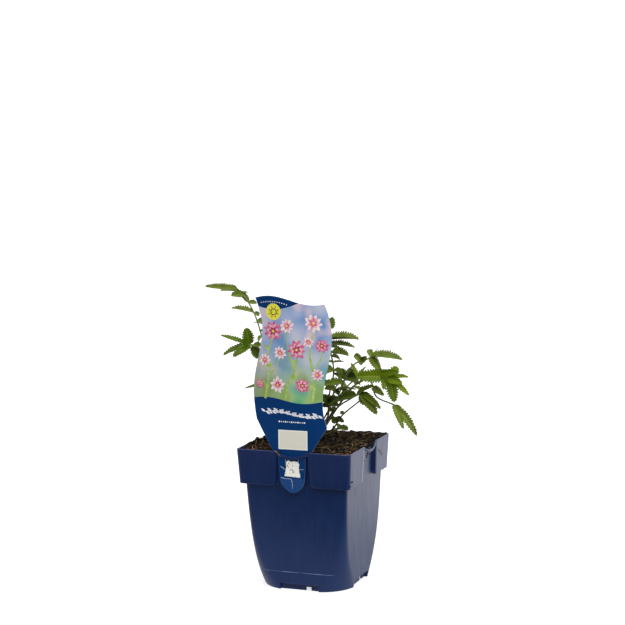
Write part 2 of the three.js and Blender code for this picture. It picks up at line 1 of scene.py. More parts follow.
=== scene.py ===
# A young great burnet in a square nursery pot with a plant label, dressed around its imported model.
# Sizes are in millimetres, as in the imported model's own source, and mm turns them into metres.
import math
import random

import bpy
from mathutils import Matrix, Vector, noise


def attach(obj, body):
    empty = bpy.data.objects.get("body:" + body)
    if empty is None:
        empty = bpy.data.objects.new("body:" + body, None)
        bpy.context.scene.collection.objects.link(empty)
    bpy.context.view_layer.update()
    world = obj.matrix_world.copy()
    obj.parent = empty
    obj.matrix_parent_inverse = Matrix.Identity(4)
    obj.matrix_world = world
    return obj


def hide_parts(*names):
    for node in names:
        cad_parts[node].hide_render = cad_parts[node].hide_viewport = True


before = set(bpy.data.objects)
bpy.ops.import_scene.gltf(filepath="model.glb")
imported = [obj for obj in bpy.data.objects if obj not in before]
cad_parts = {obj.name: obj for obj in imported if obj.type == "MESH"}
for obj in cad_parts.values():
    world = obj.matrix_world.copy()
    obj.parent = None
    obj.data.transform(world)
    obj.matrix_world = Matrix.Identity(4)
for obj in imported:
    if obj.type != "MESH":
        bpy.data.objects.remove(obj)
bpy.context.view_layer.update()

mm = 0.001
rootBody = "root"


# helpers

def mix(a, b, part):
    return a + (b - a) * part


def clamp(value, low=0.0, high=1.0):
    return max(low, min(high, value))


def smoothPart(value, low, high):
    part = clamp((value - low) / (high - low))
    return part * part * (3 - 2 * part)


def deselectAll():
    bpy.ops.object.select_all(action="DESELECT")


def activate(piece):
    deselectAll()
    piece.select_set(True)
    bpy.context.view_layer.objects.active = piece


def nameActive(name):
    piece = bpy.context.object
    piece.name = name
    piece.data.name = name
    return piece


def applyModifier(piece, kind, **settings):
    activate(piece)
    modifier = piece.modifiers.new(kind.lower(), kind)
    for key, value in settings.items():
        setattr(modifier, key, value)
    bpy.ops.object.modifier_apply(modifier=modifier.name)


def editAll(piece, *steps):
    # runs edit mode operators, each given as a function, with the whole mesh selected before each one
    activate(piece)
    bpy.ops.object.mode_set(mode="EDIT")
    for step in steps:
        bpy.ops.mesh.select_all(action="SELECT")
        step()
    bpy.ops.object.mode_set(mode="OBJECT")


def weld():
    bpy.ops.mesh.remove_doubles(threshold=0.002 * mm)


def closeHoles():
    bpy.ops.mesh.fill_holes(sides=0)


def faceOut():
    bpy.ops.mesh.normals_make_consistent(inside=False)


def addSheet(name, across, along, place):
    # a grid of cells whose corners are moved to place(column, row), in millimetres
    deselectAll()
    bpy.ops.mesh.primitive_grid_add(x_subdivisions=across, y_subdivisions=along, size=1)
    sheet = nameActive(name)
    for vertex in sheet.data.vertices:
        column = round((vertex.co.x + 0.5) * across)
        row = round((vertex.co.y + 0.5) * along)
        vertex.co = Vector(place(column, row)) * mm
    return sheet


def addWrapped(name, around, along, place):
    # the same sheet wrapped into a closed skin: its first and last columns meet, and its ends are filled
    skin = addSheet(name, around, along, lambda column, row: place(column % around, row))
    editAll(skin, weld, closeHoles, faceOut)
    return skin


def paintUv(sheet, across, along, place):
    # writes (u, v) for each corner of the grid from place(column, row)
    layer = sheet.data.uv_layers[0].data
    for loop in layer:
        column = round(loop.uv.x * across)
        row = round(loop.uv.y * along)
        loop.uv = place(column, row)


def copyTo(template, matrix):
    copy = bpy.data.objects.new(template.name, template.data.copy())
    bpy.context.collection.objects.link(copy)
    copy.data.transform(matrix)
    return copy


def joinAll(name, parts):
    deselectAll()
    for part in parts:
        part.select_set(True)
    bpy.context.view_layer.objects.active = parts[0]
    if len(parts) > 1:
        bpy.ops.object.join()
    return nameActive(name)


def remove(*pieces):
    for piece in pieces:
        bpy.data.objects.remove(piece)


def smoothBelow(piece, degrees):
    activate(piece)
    bpy.ops.object.shade_smooth_by_angle(angle=math.radians(degrees))


def dress(piece, material, slotName, *nodes):
    # a leaf brings its own materials
    if material:
        piece.data.materials.clear()
        piece.data.materials.append(material)
    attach(piece, rootBody)
    if nodes:
        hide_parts(*nodes)


class Line:
    # a smooth line through points, walked by its length; its spacing follows that of the points
    def __init__(self, points, steps=24):
        first = points[0] * 2 - points[1]
        last = points[-1] * 2 - points[-2]
        chain = [first, *points, last]
        self.points = [points[0].copy()]
        self.lengths = [0.0]
        for p0, p1, p2, p3 in zip(chain, chain[1:], chain[2:], chain[3:]):
            d0, d1, d2 = (math.sqrt((b - a).length) for a, b in ((p0, p1), (p1, p2), (p2, p3)))
            t1 = ((p1 - p0) / d0 - (p2 - p0) / (d0 + d1) + (p2 - p1) / d1) * d1
            t2 = ((p2 - p1) / d1 - (p3 - p1) / (d1 + d2) + (p3 - p2) / d2) * d1
            for step in range(1, steps + 1):
                t = step / steps
                point = (p1 + t1 * t + (p2 * 3 - p1 * 3 - t1 * 2 - t2) * t * t
                         + (p1 * 2 - p2 * 2 + t1 + t2) * t ** 3)
                self.lengths.append(self.lengths[-1] + (point - self.points[-1]).length)
                self.points.append(point)
        self.length = self.lengths[-1]

    def at(self, part):
        goal = clamp(part) * self.length
        for i in range(1, len(self.lengths)):
            if self.lengths[i] >= goal:
                span = self.lengths[i] - self.lengths[i - 1]
                return self.points[i - 1].lerp(self.points[i], (goal - self.lengths[i - 1]) / span)
        return self.points[-1].copy()

    def along(self, part):
        return (self.at(part + 0.01) - self.at(part - 0.01)).normalized()


def addTube(name, line, sides, steps, radiusAt):
    # a closed tube along a line; radiusAt(part, angle) gives its radius in millimetres
    frames = []
    side = Vector((1, 0.2, 0))
    for step in range(steps + 1):
        part = step / steps
        along = line.along(part)
        side = (side - along * side.dot(along)).normalized()
        frames.append((line.at(part), side.copy(), along.cross(side)))

    def place(column, row):
        centre, across, up = frames[row]
        angle = 2 * math.pi * column / sides
        radius = radiusAt(row / steps, angle)
        return centre + (across * math.cos(angle) + up * math.sin(angle)) * radius

    return addWrapped(name, sides, steps, place)


# shader helpers

started = {}  # the material that the node helpers add to


def startMaterial(name):
    started["material"] = bpy.data.materials.new(name)
    started["material"].use_nodes = True
    started["tree"] = started["material"].node_tree


def linear(colour):
    # a colour written as a web code, made linear; a linear colour stays as it is
    if not isinstance(colour, str):
        return colour
    parts = [int(colour[i:i + 2], 16) / 255 for i in (1, 3, 5)]
    return [c / 12.92 if c <= 0.04045 else ((c + 0.055) / 1.055) ** 2.4 for c in parts] + [1.0]


def feed(node, sockets):
    # sockets gives each input, by name or number, a value, a colour's code or the output that feeds it
    for key, value in sockets.items():
        if isinstance(value, bpy.types.NodeSocket):
            started["tree"].links.new(value, node.inputs[key])
        else:
            node.inputs[key].default_value = linear(value)


def endMaterial(sockets):
    feed(started["tree"].nodes["Principled BSDF"], sockets)
    return started["material"]


def addNode(kind, sockets=None, **settings):
    made = started["tree"].nodes.new(kind)
    for key, value in settings.items():
        setattr(made, key, value)
    feed(made, sockets or {})
    return made


def calc(operation, *values):
    return addNode("ShaderNodeMath", dict(enumerate(values)), operation=operation).outputs[0]


def times(a, b):
    return calc("MULTIPLY", a, b)


def minus(a, b):
    return calc("SUBTRACT", a, b)


def sizeOf(value):
    return calc("ABSOLUTE", value)


def objectPlace():
    return addNode("ShaderNodeTexCoord").outputs["Object"]


def mapped(place, **settings):
    # the place, moved or scaled
    return addNode("ShaderNodeMapping", {"Vector": place, **settings}).outputs[0]


def axes(vector):
    return addNode("ShaderNodeSeparateXYZ", {0: vector}).outputs


def noiseOf(place, scale, detail, roughness=0.55):
    sockets = {"Vector": place, "Scale": scale, "Detail": detail, "Roughness": roughness}
    return addNode("ShaderNodeTexNoise", sockets).outputs["Fac"]


def ramp(value, *stops):
    # stops are (position, colour)
    made = addNode("ShaderNodeValToRGB", {"Fac": value})
    band = made.color_ramp
    while len(band.elements) < len(stops):
        band.elements.new(0.5)
    for element, (position, colour) in zip(band.elements, stops):
        element.position = position
        element.color = linear(colour)
    return made.outputs["Color"]


def blend(part, a, b):
    # colour a, going over to colour b as part goes to 1
    return addNode("ShaderNodeMix", {0: part, 6: a, 7: b}, data_type="RGBA", blend_type="MIX").outputs[2]


def remap(value, low, high, toLow=0.0, toHigh=1.0):
    sockets = {"Value": value, "From Min": low, "From Max": high, "To Min": toLow, "To Max": toHigh}
    return addNode("ShaderNodeMapRange", sockets).outputs[0]


def bumpOf(height, strength, distance, **more):
    sockets = {"Height": height, "Strength": strength, "Distance": distance, **more}
    return addNode("ShaderNodeBump", sockets).outputs["Normal"]


print("helpers ready")


# pot

pot = {
    "height": 130, "wall": 1.5, "collarHeight": 32,
    "rimHalf": 55, "collarFootHalf": 53.2, "collarCorner": 4,
    "bodyTopHalf": 48.95, "bodyFootHalf": 43.9, "topCorner": 4, "footCorner": 32, "cornerPower": 3.4,
    "baseUnder": 3.5, "baseThick": 1.6, "lineHeight": 17, "lineDepth": 0.05,
    "centreColumns": 6, "outerColumns": 18, "crowding": 2.2,
    "warp": 0.0022, "warpSize": 34,
}
recess = {"topHalf": 14.7, "footHalf": 17.1, "topFloor": 51.4, "footFloor": 49.6, "dip": 4, "dipFrom": 112,
          "corner": 3.6}
notch = {"half": 18.4, "height": 6, "floor": 40.5}
vent = {"left": 5.4, "right": 10.6, "under": 1, "top": 3.3, "near": 35.5, "far": 45.5}
drain = {"radius": 4.5, "depth": 6, "spread": 24}
strap = {"sag": 4.2, "height": 2.7, "thick": 1.3, "reach": 56.25, "half": 15.6, "rootHalf": 54.8}
collarFoot = pot["height"] - pot["collarHeight"]

# across a cut's edge: distance from the edge, and how far the surface has reached the cut's floor
cutEdge = [(-0.45, 1.0), (-0.22, 0.97), (-0.08, 0.86), (0.08, 0.14), (0.22, 0.03), (0.45, 0.0)]
edgeReach = cutEdge[-1][0]


def bodyOutline(z):
    rise = clamp(z / collarFoot)
    corner = mix(pot["topCorner"], pot["footCorner"], (1 - rise) ** pot["cornerPower"])
    return mix(pot["bodyFootHalf"], pot["bodyTopHalf"], rise), corner


def collarOutline(z):
    rise = (z - collarFoot) / pot["collarHeight"]
    return mix(pot["collarFootHalf"], pot["rimHalf"], rise), pot["collarCorner"]


def cutHalfAt(z):
    # half the width of a recess, or of a notch in the foot
    if z >= collarFoot - 1:
        rise = (z - collarFoot) / pot["collarHeight"]
        drop = clamp(collarFoot + recess["corner"] - z, 0, recess["corner"])
        rounding = recess["corner"] - math.sqrt(recess["corner"] ** 2 - drop ** 2)
        return mix(recess["footHalf"], recess["topHalf"], rise) + rounding
    start = mix(notch["half"], recess["footHalf"], clamp(z / collarFoot))
    return start + recess["corner"] * smoothPart(z, notch["height"], collarFoot - 1)


def cutFloorAt(z):
    # how far a cut's floor is from the pot's axis
    if z < collarFoot / 2:
        return notch["floor"]
    rise = (z - collarFoot) / pot["collarHeight"]
    return mix(recess["footFloor"], recess["topFloor"], rise)


def halfColumns():
    # from the middle of a side to its corner: ("middle", part), ("edge", distance, reach), ("outer", part)
    columns = [("middle", i / pot["centreColumns"]) for i in range(pot["centreColumns"])]
    columns += [("edge", *step) for step in cutEdge]
    count = pot["outerColumns"]
    columns += [("outer", 1 - (1 - i / count) ** pot["crowding"]) for i in range(1, count + 1)]
    return columns


potColumns = halfColumns()
sideColumns = 2 * len(potColumns) - 2
ringColumns = 4 * sideColumns


def sidePoint(column, row):
    # a point of one side's half, as (distance from the side's middle, distance from the pot's axis)
    half = row["half"] - row["inset"]
    corner = row["corner"] - row["inset"]
    flat = half - corner
    cutHalf = cutHalfAt(row["z"]) + row["inset"]
    edgeStart = cutHalf - edgeReach
    kind, value, *more = column
    if kind == "outer":
        x = edgeStart + 2 * edgeReach
        start = x if x <= flat else flat + corner * math.asin(min((x - flat) / corner, 1))
        walk = mix(start, flat + corner * math.pi / 4, value)
        if walk <= flat:
            return walk, half
        angle = (walk - flat) / corner
        return flat + corner * math.sin(angle), flat + corner * math.cos(angle)
    x = value * edgeStart if kind == "middle" else cutHalf + value
    away = half if x <= flat else flat + math.sqrt(max(corner ** 2 - (x - flat) ** 2, 0))
    reach = (more[0] if more else 1.0) * row["cut"]
    floor = min(away, cutFloorAt(row["z"]) - row["inset"])
    return x, mix(away, floor, reach)


def ringPoint(column, row):
    side, step = divmod(column + len(potColumns) - 1, sideColumns)
    offset = step - (len(potColumns) - 1)
    shape = potColumns[min(abs(offset), len(potColumns) - 1)]
    across, away = sidePoint(shape, row)
    across = math.copysign(across, offset) if offset else 0
    z = row["z"]
    inRecess = shape[0] == "middle" or (shape[0] == "edge" and shape[1] < 0)
    if inRecess:
        z -= recess["dip"] * clamp((z - recess["dipFrom"]) / (pot["height"] - recess["dipFrom"]))
    turn = Matrix.Rotation(side * math.pi / 2, 3, "Z")
    point = turn @ Vector((across, -away, z))
    warp = 1 + pot["warp"] * noise.noise(point / pot["warpSize"])
    return point.x * warp, point.y * warp, point.z


def makeRow(z, outline, inset, cut=0.0):
    # cut says how far the recesses and notches are cut in at this height, from 0 to 1
    half, corner = outline
    return {"z": z, "half": half, "corner": corner, "inset": inset, "cut": cut}


def potRows():
    wall = pot["wall"]
    under = pot["baseUnder"]
    floor = under + pot["baseThick"]
    foot = [(under, 2.6), (under, 1.85), (under - 0.3, wall), (0.5, wall), (0.12, 1.35), (0, 1.05), (0, 0.45),
            (0.12, 0.15), (0.5, 0), (2, 0), (4, 0), (5.5, 0)]
    rows = [makeRow(z, bodyOutline(z), inset, 1) for z, inset in foot]
    rows += [makeRow(z, bodyOutline(z), 0, cut) for z, cut in ((5.93, 0.9), (6.07, 0.1), (6.5, 0))]
    line = pot["lineHeight"]
    body = [8, 10, 12, 14, 15.6, line - 0.5, line - 0.2, line + 0.2, line + 0.5, 18.6, 20]
    body += [22 + 2.5 * i for i in range(30)] + [collarFoot - 0.6]
    for z in body:
        sunk = pot["lineDepth"] if abs(z - line) < 0.3 else 0
        rows.append(makeRow(z, bodyOutline(z), sunk))
    shelf = [(-0.2, 48.98), (-0.02, 49.25), (0, 49.7), (0, 51.2), (0, 52.4), (0.05, 52.75), (0.25, 53.08)]
    rows += [makeRow(collarFoot + up, (half, pot["collarCorner"]), 0, 1) for up, half in shelf]
    collar = [collarFoot + up for up in (0.7, 1.4, 2.2, 3.2, 4.5, 7, 11, 15, 19, 23, 27, 30, 31.2)]
    rows += [makeRow(z, collarOutline(z), 0, 1) for z in collar]
    top = pot["height"]
    rim = [(top - 0.3, 0.08), (top - 0.08, 0.3), (top, 0.6), (top, 0.95), (top - 0.08, 1.2),
           (top - 0.3, 1.42), (top - 0.8, wall), (top - 4, wall), (top - 10, wall), (top - 20, wall),
           (collarFoot + 4, wall), (collarFoot + wall + 0.3, wall), (collarFoot + wall, wall + 0.3)]
    rows += [makeRow(z, collarOutline(z), inset, 1) for z, inset in rim]
    rows += [makeRow(collarFoot + wall - down, bodyOutline(collarFoot), wall, 0) for down in (0, 0.6)]
    inner = [80, 60, 45, 34, 26, 20, 14, 10, notch["height"] + wall + 0.6]
    rows += [makeRow(z, bodyOutline(z), wall) for z in inner]
    ledge = notch["height"] + wall
    rows += [makeRow(z, bodyOutline(z), wall, cut) for z, cut in ((ledge + 0.07, 0.1), (ledge - 0.07, 0.9))]
    bottom = [(ledge - 0.5, wall), (floor + 0.3, wall), (floor, wall + 0.3), (floor, wall + 1)]
    rows += [makeRow(z, bodyOutline(z), inset, 1) for z, inset in bottom]
    return rows


def addShell(name, rows):
    # a closed skin through rings at the rows' heights, from one end to the other
    return addWrapped(name, ringColumns, len(rows) - 1, lambda column, row: ringPoint(column, rows[row]))


def combine(piece, operation, other):
    applyModifier(piece, "BOOLEAN", operation=operation, solver="EXACT", object=other)


def addBlock(low, high):
    # a box from corner to corner
    middle = [(a + b) / 2 * mm for a, b in zip(low, high)]
    size = [(b - a) * mm for a, b in zip(low, high)]
    bpy.ops.mesh.primitive_cube_add(size=1, location=middle, scale=size)
    bpy.ops.object.transform_apply(location=True, scale=True)
    return bpy.context.object


def onFourSides(template):
    copies = [copyTo(template, Matrix.Rotation(side * math.pi / 2, 4, "Z")) for side in range(4)]
    remove(template)
    return copies


def makeStrap():
    # a band that hangs from the rim in a bow and bulges outwards, with a rounded section
    around, steps = 16, 28

    def place(column, row):
        x = strap["half"] * (2 * row / steps - 1)
        middle = 1 - (x / strap["half"]) ** 2
        outer = mix(strap["rootHalf"], strap["reach"], middle)
        top = pot["height"] - strap["sag"] * middle
        angle = 2 * math.pi * column / around
        square = 1 / max(abs(math.cos(angle)) ** 3 + abs(math.sin(angle)) ** 3, 0.01) ** (1 / 3)
        y = -(outer - strap["thick"] / 2) - strap["thick"] / 2 * math.cos(angle) * square
        return x, y, top - strap["height"] / 2 + strap["height"] / 2 * math.sin(angle) * square

    return addWrapped("strapBand", around, steps, place)


def makePot():
    shell = addShell("potShell", potRows())
    ventLow = (vent["left"], -vent["far"], -vent["under"])
    ventHigh = (vent["right"], -vent["near"], vent["top"])
    cutters = onFourSides(addBlock(ventLow, ventHigh))
    for x, y in ((0, 0), (1, 1), (-1, 1), (-1, -1), (1, -1)):
        place = (x * drain["spread"] * mm, y * drain["spread"] * mm, pot["baseUnder"] * mm)
        bpy.ops.mesh.primitive_cylinder_add(vertices=32, radius=drain["radius"] * mm,
                                            depth=drain["depth"] * mm, location=place)
        bpy.ops.object.transform_apply(location=True)
        cutters.append(bpy.context.object)
    cutter = joinAll("potCutter", cutters)
    combine(shell, "DIFFERENCE", cutter)
    straps = joinAll("straps", onFourSides(makeStrap()))
    combine(shell, "UNION", straps)
    remove(cutter, straps)
    smoothBelow(shell, 38)
    return shell


plastic = {
    # foot tints the body greyer towards its foot, as painted light from the floor
    "darker": "#021e4a", "lighter": "#042350", "collar": "#1d2a56", "foot": "#202d5c", "streak": "#33436b",
    # rim lightens the rim's top as a painted highlight
    "scuff": "#6f7ca0", "shade": "#050f2a", "rim": "#4a4f74", "dust": "#7f86a0",
}
plasticReach = {  # the places, in metres, between which a tone sets in or fades
    "collar": (0.095, 0.128), "foot": (0.05, 0.012), "rim": (0.1294, 0.1299),
    "paleLineHeight": (0.00012, 0.0004), "paleLineFront": (-0.036, -0.040), "paleLineSide": (0.030, 0.036),
    "notchWall": (0.0424, 0.0428), "notchSide": (0.0192, 0.0195), "notchTop": (0.0060, 0.0062),
}


def plasticMaterial():
    startMaterial("navyPlastic")
    reach = plasticReach
    place = objectPlace()
    x, y, height = axes(place)
    broad = noiseOf(place, 38, 2)
    dust = noiseOf(place, 900, 4, 0.7)
    streaks = noiseOf(mapped(place, Scale=(1, 1, 0.05)), 420, 3, 0.6)
    tint = ramp(broad, (0.3, plastic["darker"]), (0.7, plastic["lighter"]))
    tint = blend(remap(height, *reach["collar"], 0.0, 0.56), tint, plastic["collar"])
    # painted light from the floor: the body is tinted greyer towards the foot, where the floor lights it
    tint = blend(remap(height, *reach["foot"], 0.0, 0.08), tint, plastic["foot"])
    tint = blend(remap(streaks, 0.35, 0.75, 0.0, 0.09), tint, plastic["streak"])
    # a paler line along the shallow groove at the foot of the front, broken in places by noise
    line = remap(sizeOf(minus(height, pot["lineHeight"] * mm)), *reach["paleLineHeight"], 1, 0)
    front = times(remap(y, *reach["paleLineFront"]), remap(sizeOf(x), *reach["paleLineSide"], 1, 0))
    lineStrength = remap(noiseOf(place, 90, 2), 0.38, 0.6, 0.25, 1)
    tint = blend(times(times(line, front), lineStrength), tint, plastic["scuff"])
    # the walls of the notches in the foot lie in shade
    far = calc("MAXIMUM", sizeOf(x), sizeOf(y))
    near = calc("MINIMUM", sizeOf(x), sizeOf(y))
    shade = times(remap(far, *reach["notchWall"], 0.3, 0), remap(near, *reach["notchSide"], 1, 0))
    tint = blend(times(shade, remap(height, *reach["notchTop"], 1, 0)), tint, plastic["shade"])
    # painted highlight: the rim's top is tinted lighter, where it catches the light
    tint = blend(remap(height, *reach["rim"], 0, 0.6), tint, plastic["rim"])
    dusty = times(remap(dust, 0.58, 0.85), remap(broad, 0.35, 0.65, 0.01, 0.07))
    grain = bumpOf(noiseOf(place, 2600, 2), 0.1, 0.0001)
    return endMaterial({
        "Base Color": blend(dusty, tint, plastic["dust"]), "Roughness": remap(streaks, 0.3, 0.7, 0.33, 0.45),
        "Specular IOR Level": 0.2, "Normal": bumpOf(streaks, 0.16, 0.0002, Normal=grain),
    })


dress(makePot(), plasticMaterial(), "pot", "pot")
print("pot made")


# soil

soil = {
    "level": 126.6, "gap": 0.3, "cells": 150, "reach": 56, "depth": 140,
    "mound": (2, 13, 4, 20), "heap": (-41, -27, 7.2, 17), "backRise": 4.0, "backFrom": 18, "backTo": 50,
    "lump": 0.55, "fineLump": 0.33,
    "clod": 1.5, "clodSize": 5.5, "grit": 0.7, "gritSize": 1.7,
    "calm": 0.92, "calmEdge": (47, 53), "calmBack": (26, 42), "lift": 0.1,
    "scatter": 53, "plant": (-2.5, 12), "plantReach": 8, "smallBack": 44, "smallMargin": 0.9,
    "crumbs": 1500, "clods": 260, "fibres": 850, "straws": 200, "seed": 17,
}


def hill(x, y, hx, hy, height, reach):
    return height * math.exp(-((x - hx) ** 2 + (y - hy) ** 2) / reach ** 2)


def soilBase(x, y):
    lump = math.sin(x * 0.31 + 1.3 * math.sin(y * 0.17)) * math.cos(y * 0.27 + 0.6)
    fine = math.sin(x * 0.67 + y * 0.41)
    hills = hill(x, y, *soil["mound"]) + hill(x, y, *soil["heap"])
    hills += soil["backRise"] * smoothPart(y, soil["backFrom"], soil["backTo"])
    return soil["level"] + hills + soil["lump"] * lump + soil["fineLump"] * fine


def soilTop(x, y):
    clod = noise.noise(Vector((x, y, 3)) / soil["clodSize"])
    grit = noise.noise(Vector((x, y, 9)) / soil["gritSize"])
    # the surface is smoother along the wall and at the back
    calm = max(smoothPart(max(abs(x), abs(y)), *soil["calmEdge"]), smoothPart(y, *soil["calmBack"]))
    rough = (soil["clod"] * clod + soil["grit"] * grit) * (1 - soil["calm"] * calm)
    return soilBase(x, y) + rough + soil["lift"]


def inPot(x, y, margin):
    # whether a place at the soil's surface is inside the pot's wall by a margin
    half = pot["rimHalf"] - pot["wall"] - 0.3 - margin
    if max(abs(x), abs(y)) > half:
        return False
    backing = recess["topFloor"] - pot["wall"] - margin
    for across, away in ((x, abs(y)), (y, abs(x))):
        if abs(across) < recess["topHalf"] + pot["wall"] + 0.8 + margin and away > backing:
            return False
    return True


def makeSoil():
    count = soil["cells"]

    def place(column, row):
        x = soil["reach"] * (2 * column / count - 1)
        y = soil["reach"] * (2 * row / count - 1)
        return x, y, soilTop(x, y)

    def deepen():
        drop = {"value": (0, 0, -soil["depth"] * mm)}
        bpy.ops.mesh.extrude_region_move(TRANSFORM_OT_translate=drop)
        bpy.ops.transform.resize(value=(1, 1, 0))

    bed = addSheet("soilBed", count, count, place)
    editAll(bed, deepen, faceOut)

    inset = pot["wall"] + soil["gap"]
    ledge = notch["height"] + inset
    rows = [makeRow(z, bodyOutline(z), inset, cut) for z, cut in (
        (5.4, 1), (ledge - 0.05, 1), (ledge + 0.05, 0), (12, 0), (20, 0), (30, 0), (45, 0), (70, 0))]
    rows.append(makeRow(collarFoot + inset - 0.1, bodyOutline(collarFoot), inset))
    rows += [makeRow(z, collarOutline(z), inset, 1) for z in (collarFoot + inset, 112, 122, 134, 140)]
    room = addShell("soilRoom", rows)
    combine(bed, "INTERSECT", room)
    remove(room)
    smoothBelow(bed, 60)
    return bed


def makeLump(name, detail, seed, size):
    # an irregular lump about size across, at the origin
    bpy.ops.mesh.primitive_ico_sphere_add(subdivisions=detail, radius=size / 2 * mm)
    lump = nameActive(name)
    for vertex in lump.data.vertices:
        push = 1 + 0.55 * noise.noise(vertex.co / (size * 0.4 * mm) + Vector((seed, 0, 0)))
        vertex.co = vertex.co * push
        vertex.co.z *= 0.75
    return lump


def randomTurn(draw):
    spin = Matrix.Rotation(draw.uniform(0, 2 * math.pi), 4, "Z")
    return spin @ Matrix.Rotation(draw.uniform(-0.9, 0.9), 4, "X")


def scatterPlace(draw, margin):
    while True:
        x = draw.uniform(-soil["scatter"], soil["scatter"])
        y = draw.uniform(-soil["scatter"], soil["scatter"])
        nearCrown = math.dist((x, y), soil["plant"]) < soil["plantReach"]
        atBack = y > soil["smallBack"] and margin > soil["smallMargin"]
        if inPot(x, y, margin) and not nearCrown and not atBack:
            return x, y


def makeCrumbs(name, count, detail, low, high, seed):
    draw = random.Random(seed)
    templates = [makeLump(name, detail, seed + i * 3.7, 1) for i in range(4)]
    copies = []
    for i in range(count):
        size = mix(low, high, draw.random() ** 2)
        x, y = scatterPlace(draw, size * 0.7)
        place = Vector((x, y, soilTop(x, y) + size * draw.uniform(0.0, 0.3))) * mm
        turn = Matrix.Translation(place) @ randomTurn(draw) @ Matrix.Scale(size, 4)
        copies.append(copyTo(templates[i % len(templates)], turn))
    remove(*templates)
    crumbs = joinAll(name, copies)
    smoothBelow(crumbs, 50)
    return crumbs


def addFibre(draw, x, y, length, radius, lift):
    # a curved thread that lies on the soil, with its ends a little up or down
    heading = draw.uniform(0, 2 * math.pi)
    bend = draw.uniform(-1.5, 1.5)
    points = []
    for i in range(5):
        part = i / 4 - 0.5
        turn = heading + bend * part
        px = x + math.cos(turn) * length * part
        py = y + math.sin(turn) * length * part
        rise = lift * (0.6 + 0.8 * math.sin(i * 1.9 + bend * 3))
        points.append(Vector((px, py, soilTop(px, py) + radius + max(rise, 0))))
    if not all(inPot(p.x, p.y, radius + 0.4) for p in points):
        return None

    def radiusAt(part, angle):
        return radius * (1 - 0.6 * abs(2 * part - 1) ** 3)

    return addTube("fibre", Line(points, 6), 4, 7, radiusAt)


def makeFibres(name, count, seed, lengths, radii):
    draw = random.Random(seed)
    fibres = []
    while len(fibres) < count:
        x, y = scatterPlace(draw, 1)
        length = mix(*lengths, draw.random() ** 1.5)
        fibre = addFibre(draw, x, y, length, draw.uniform(*radii), draw.uniform(0, 1.0))
        if fibre:
            fibres.append(fibre)
    threads = joinAll(name, fibres)
    smoothBelow(threads, 80)
    return threads


def peatMaterial(name, dark, light, size):
    startMaterial(name)
    place = objectPlace()
    coarse = noiseOf(place, 160 / size, 4, 0.65)
    fine = noiseOf(place, 900 / size, 3, 0.6)
    colour = ramp(coarse, (0.34, dark), (0.52, "#16110d"), (0.74, light))
    colour = blend(times(remap(fine, 0.6, 0.72), 0.4), colour, "#40342a")
    return endMaterial({"Base Color": colour, "Roughness": 0.95, "Specular IOR Level": 0.2,
                        "Normal": bumpOf(fine, 0.9, 0.0006)})


def fibreMaterial(name, dark, light):
    startMaterial(name)
    place = objectPlace()
    spread = noiseOf(place, 70, 2)
    streak = noiseOf(place, 1200, 2)
    colour = ramp(spread, (0.35, dark), (0.65, light))
    return endMaterial({"Base Color": blend(times(streak, 0.5), colour, "#2a1c10"), "Roughness": 0.8,
                        "Specular IOR Level": 0.3})


dress(makeSoil(), peatMaterial("peat", "#070605", "#1f1813", 1), "soil", "soil")
crumbMaterial = peatMaterial("peatCrumb", "#090706", "#261d15", 0.6)
dress(makeCrumbs("peatCrumbs", soil["crumbs"], 1, 0.7, 2.2, soil["seed"]), crumbMaterial, "soil")
dress(makeCrumbs("peatClods", soil["clods"], 2, 1.8, 4.5, soil["seed"]), crumbMaterial, "soil")
for fibreName, fibreCount, fibreSeed, fibreLengths, fibreRadii, dark, light in (
        ("peatFibres", soil["fibres"], 5, (5, 18), (0.1, 0.22), "#21180e", "#5a4424"),
        ("paleStraws", soil["straws"], 8, (8, 22), (0.14, 0.25), "#7a5c34", "#c09e68")):
    fibres = makeFibres(fibreName, fibreCount, fibreSeed, fibreLengths, fibreRadii)
    dress(fibres, fibreMaterial(fibreName, dark, light), "soil")

# crumbs in the pot's right recess, on its collar and round the straps: place and size
stuckBits = [
    (50.9, 1.8, 120.8, 1.9), (50.9, 3.9, 119.4, 1.5), (50.9, 0.1, 118.7, 1.8), (50.8, 0.8, 117.2, 1.3),
    (51, -1.6, 124, 1.3), (50.7, -5.6, 115.3, 1.1), (51, -6.4, 122.5, 1.1), (51, 5, 122.8, 1.8),
    (53.7, -45.9, 104.5, 1.5), (53.7, -48.2, 104.3, 1.0), (53.5, -50.4, 101, 1.3), (54.6, -10.5, 128.3, 2.6),
    (54.5, -7.3, 127.3, 2.2), (54.8, -4.4, 126.6, 1.9), (54.9, 1.5, 126.3, 1.6), (54.6, 6.4, 127.1, 2.2),
    (50.7, 2.6, 126.6, 2.6), (50.6, 5.4, 126.6, 2.4), (50.7, 8.2, 126.7, 2.8), (50.5, 11, 126.8, 2.5),
    (50.3, 13.6, 126.9, 2.2), (-13.3, -54.7, 129.2, 1.9), (-11.9, -55, 128.6, 1.5), (15.6, -54.2, 130.3, 1.8),
]
# thin stalks lying against the pot's side, its front and the strap's end, as places along them
straws = [
    [(54.7, 22.8, 120.6), (54.6, 28.5, 117.6), (54.3, 33.8, 113)],
    [(-15.4, -55, 129.6), (-12.9, -55.5, 128.3), (-11, -55.8, 125.8)],
    [(-16.8, -54.4, 130.3), (-13.6, -55.3, 129.3), (-12.2, -55.6, 127)],
]


def makeStuckBits():
    draw = random.Random(soil["seed"])
    template = makeLump("stuckLump", 2, 3.1, 1)
    pieces = []
    for x, y, z, size in stuckBits:
        turn = Matrix.Translation(Vector((x, y, z)) * mm) @ randomTurn(draw) @ Matrix.Scale(size, 4)
        pieces.append(copyTo(template, turn))
    remove(template)
    bits = joinAll("stuckCrumbs", pieces)
    smoothBelow(bits, 50)
    return bits


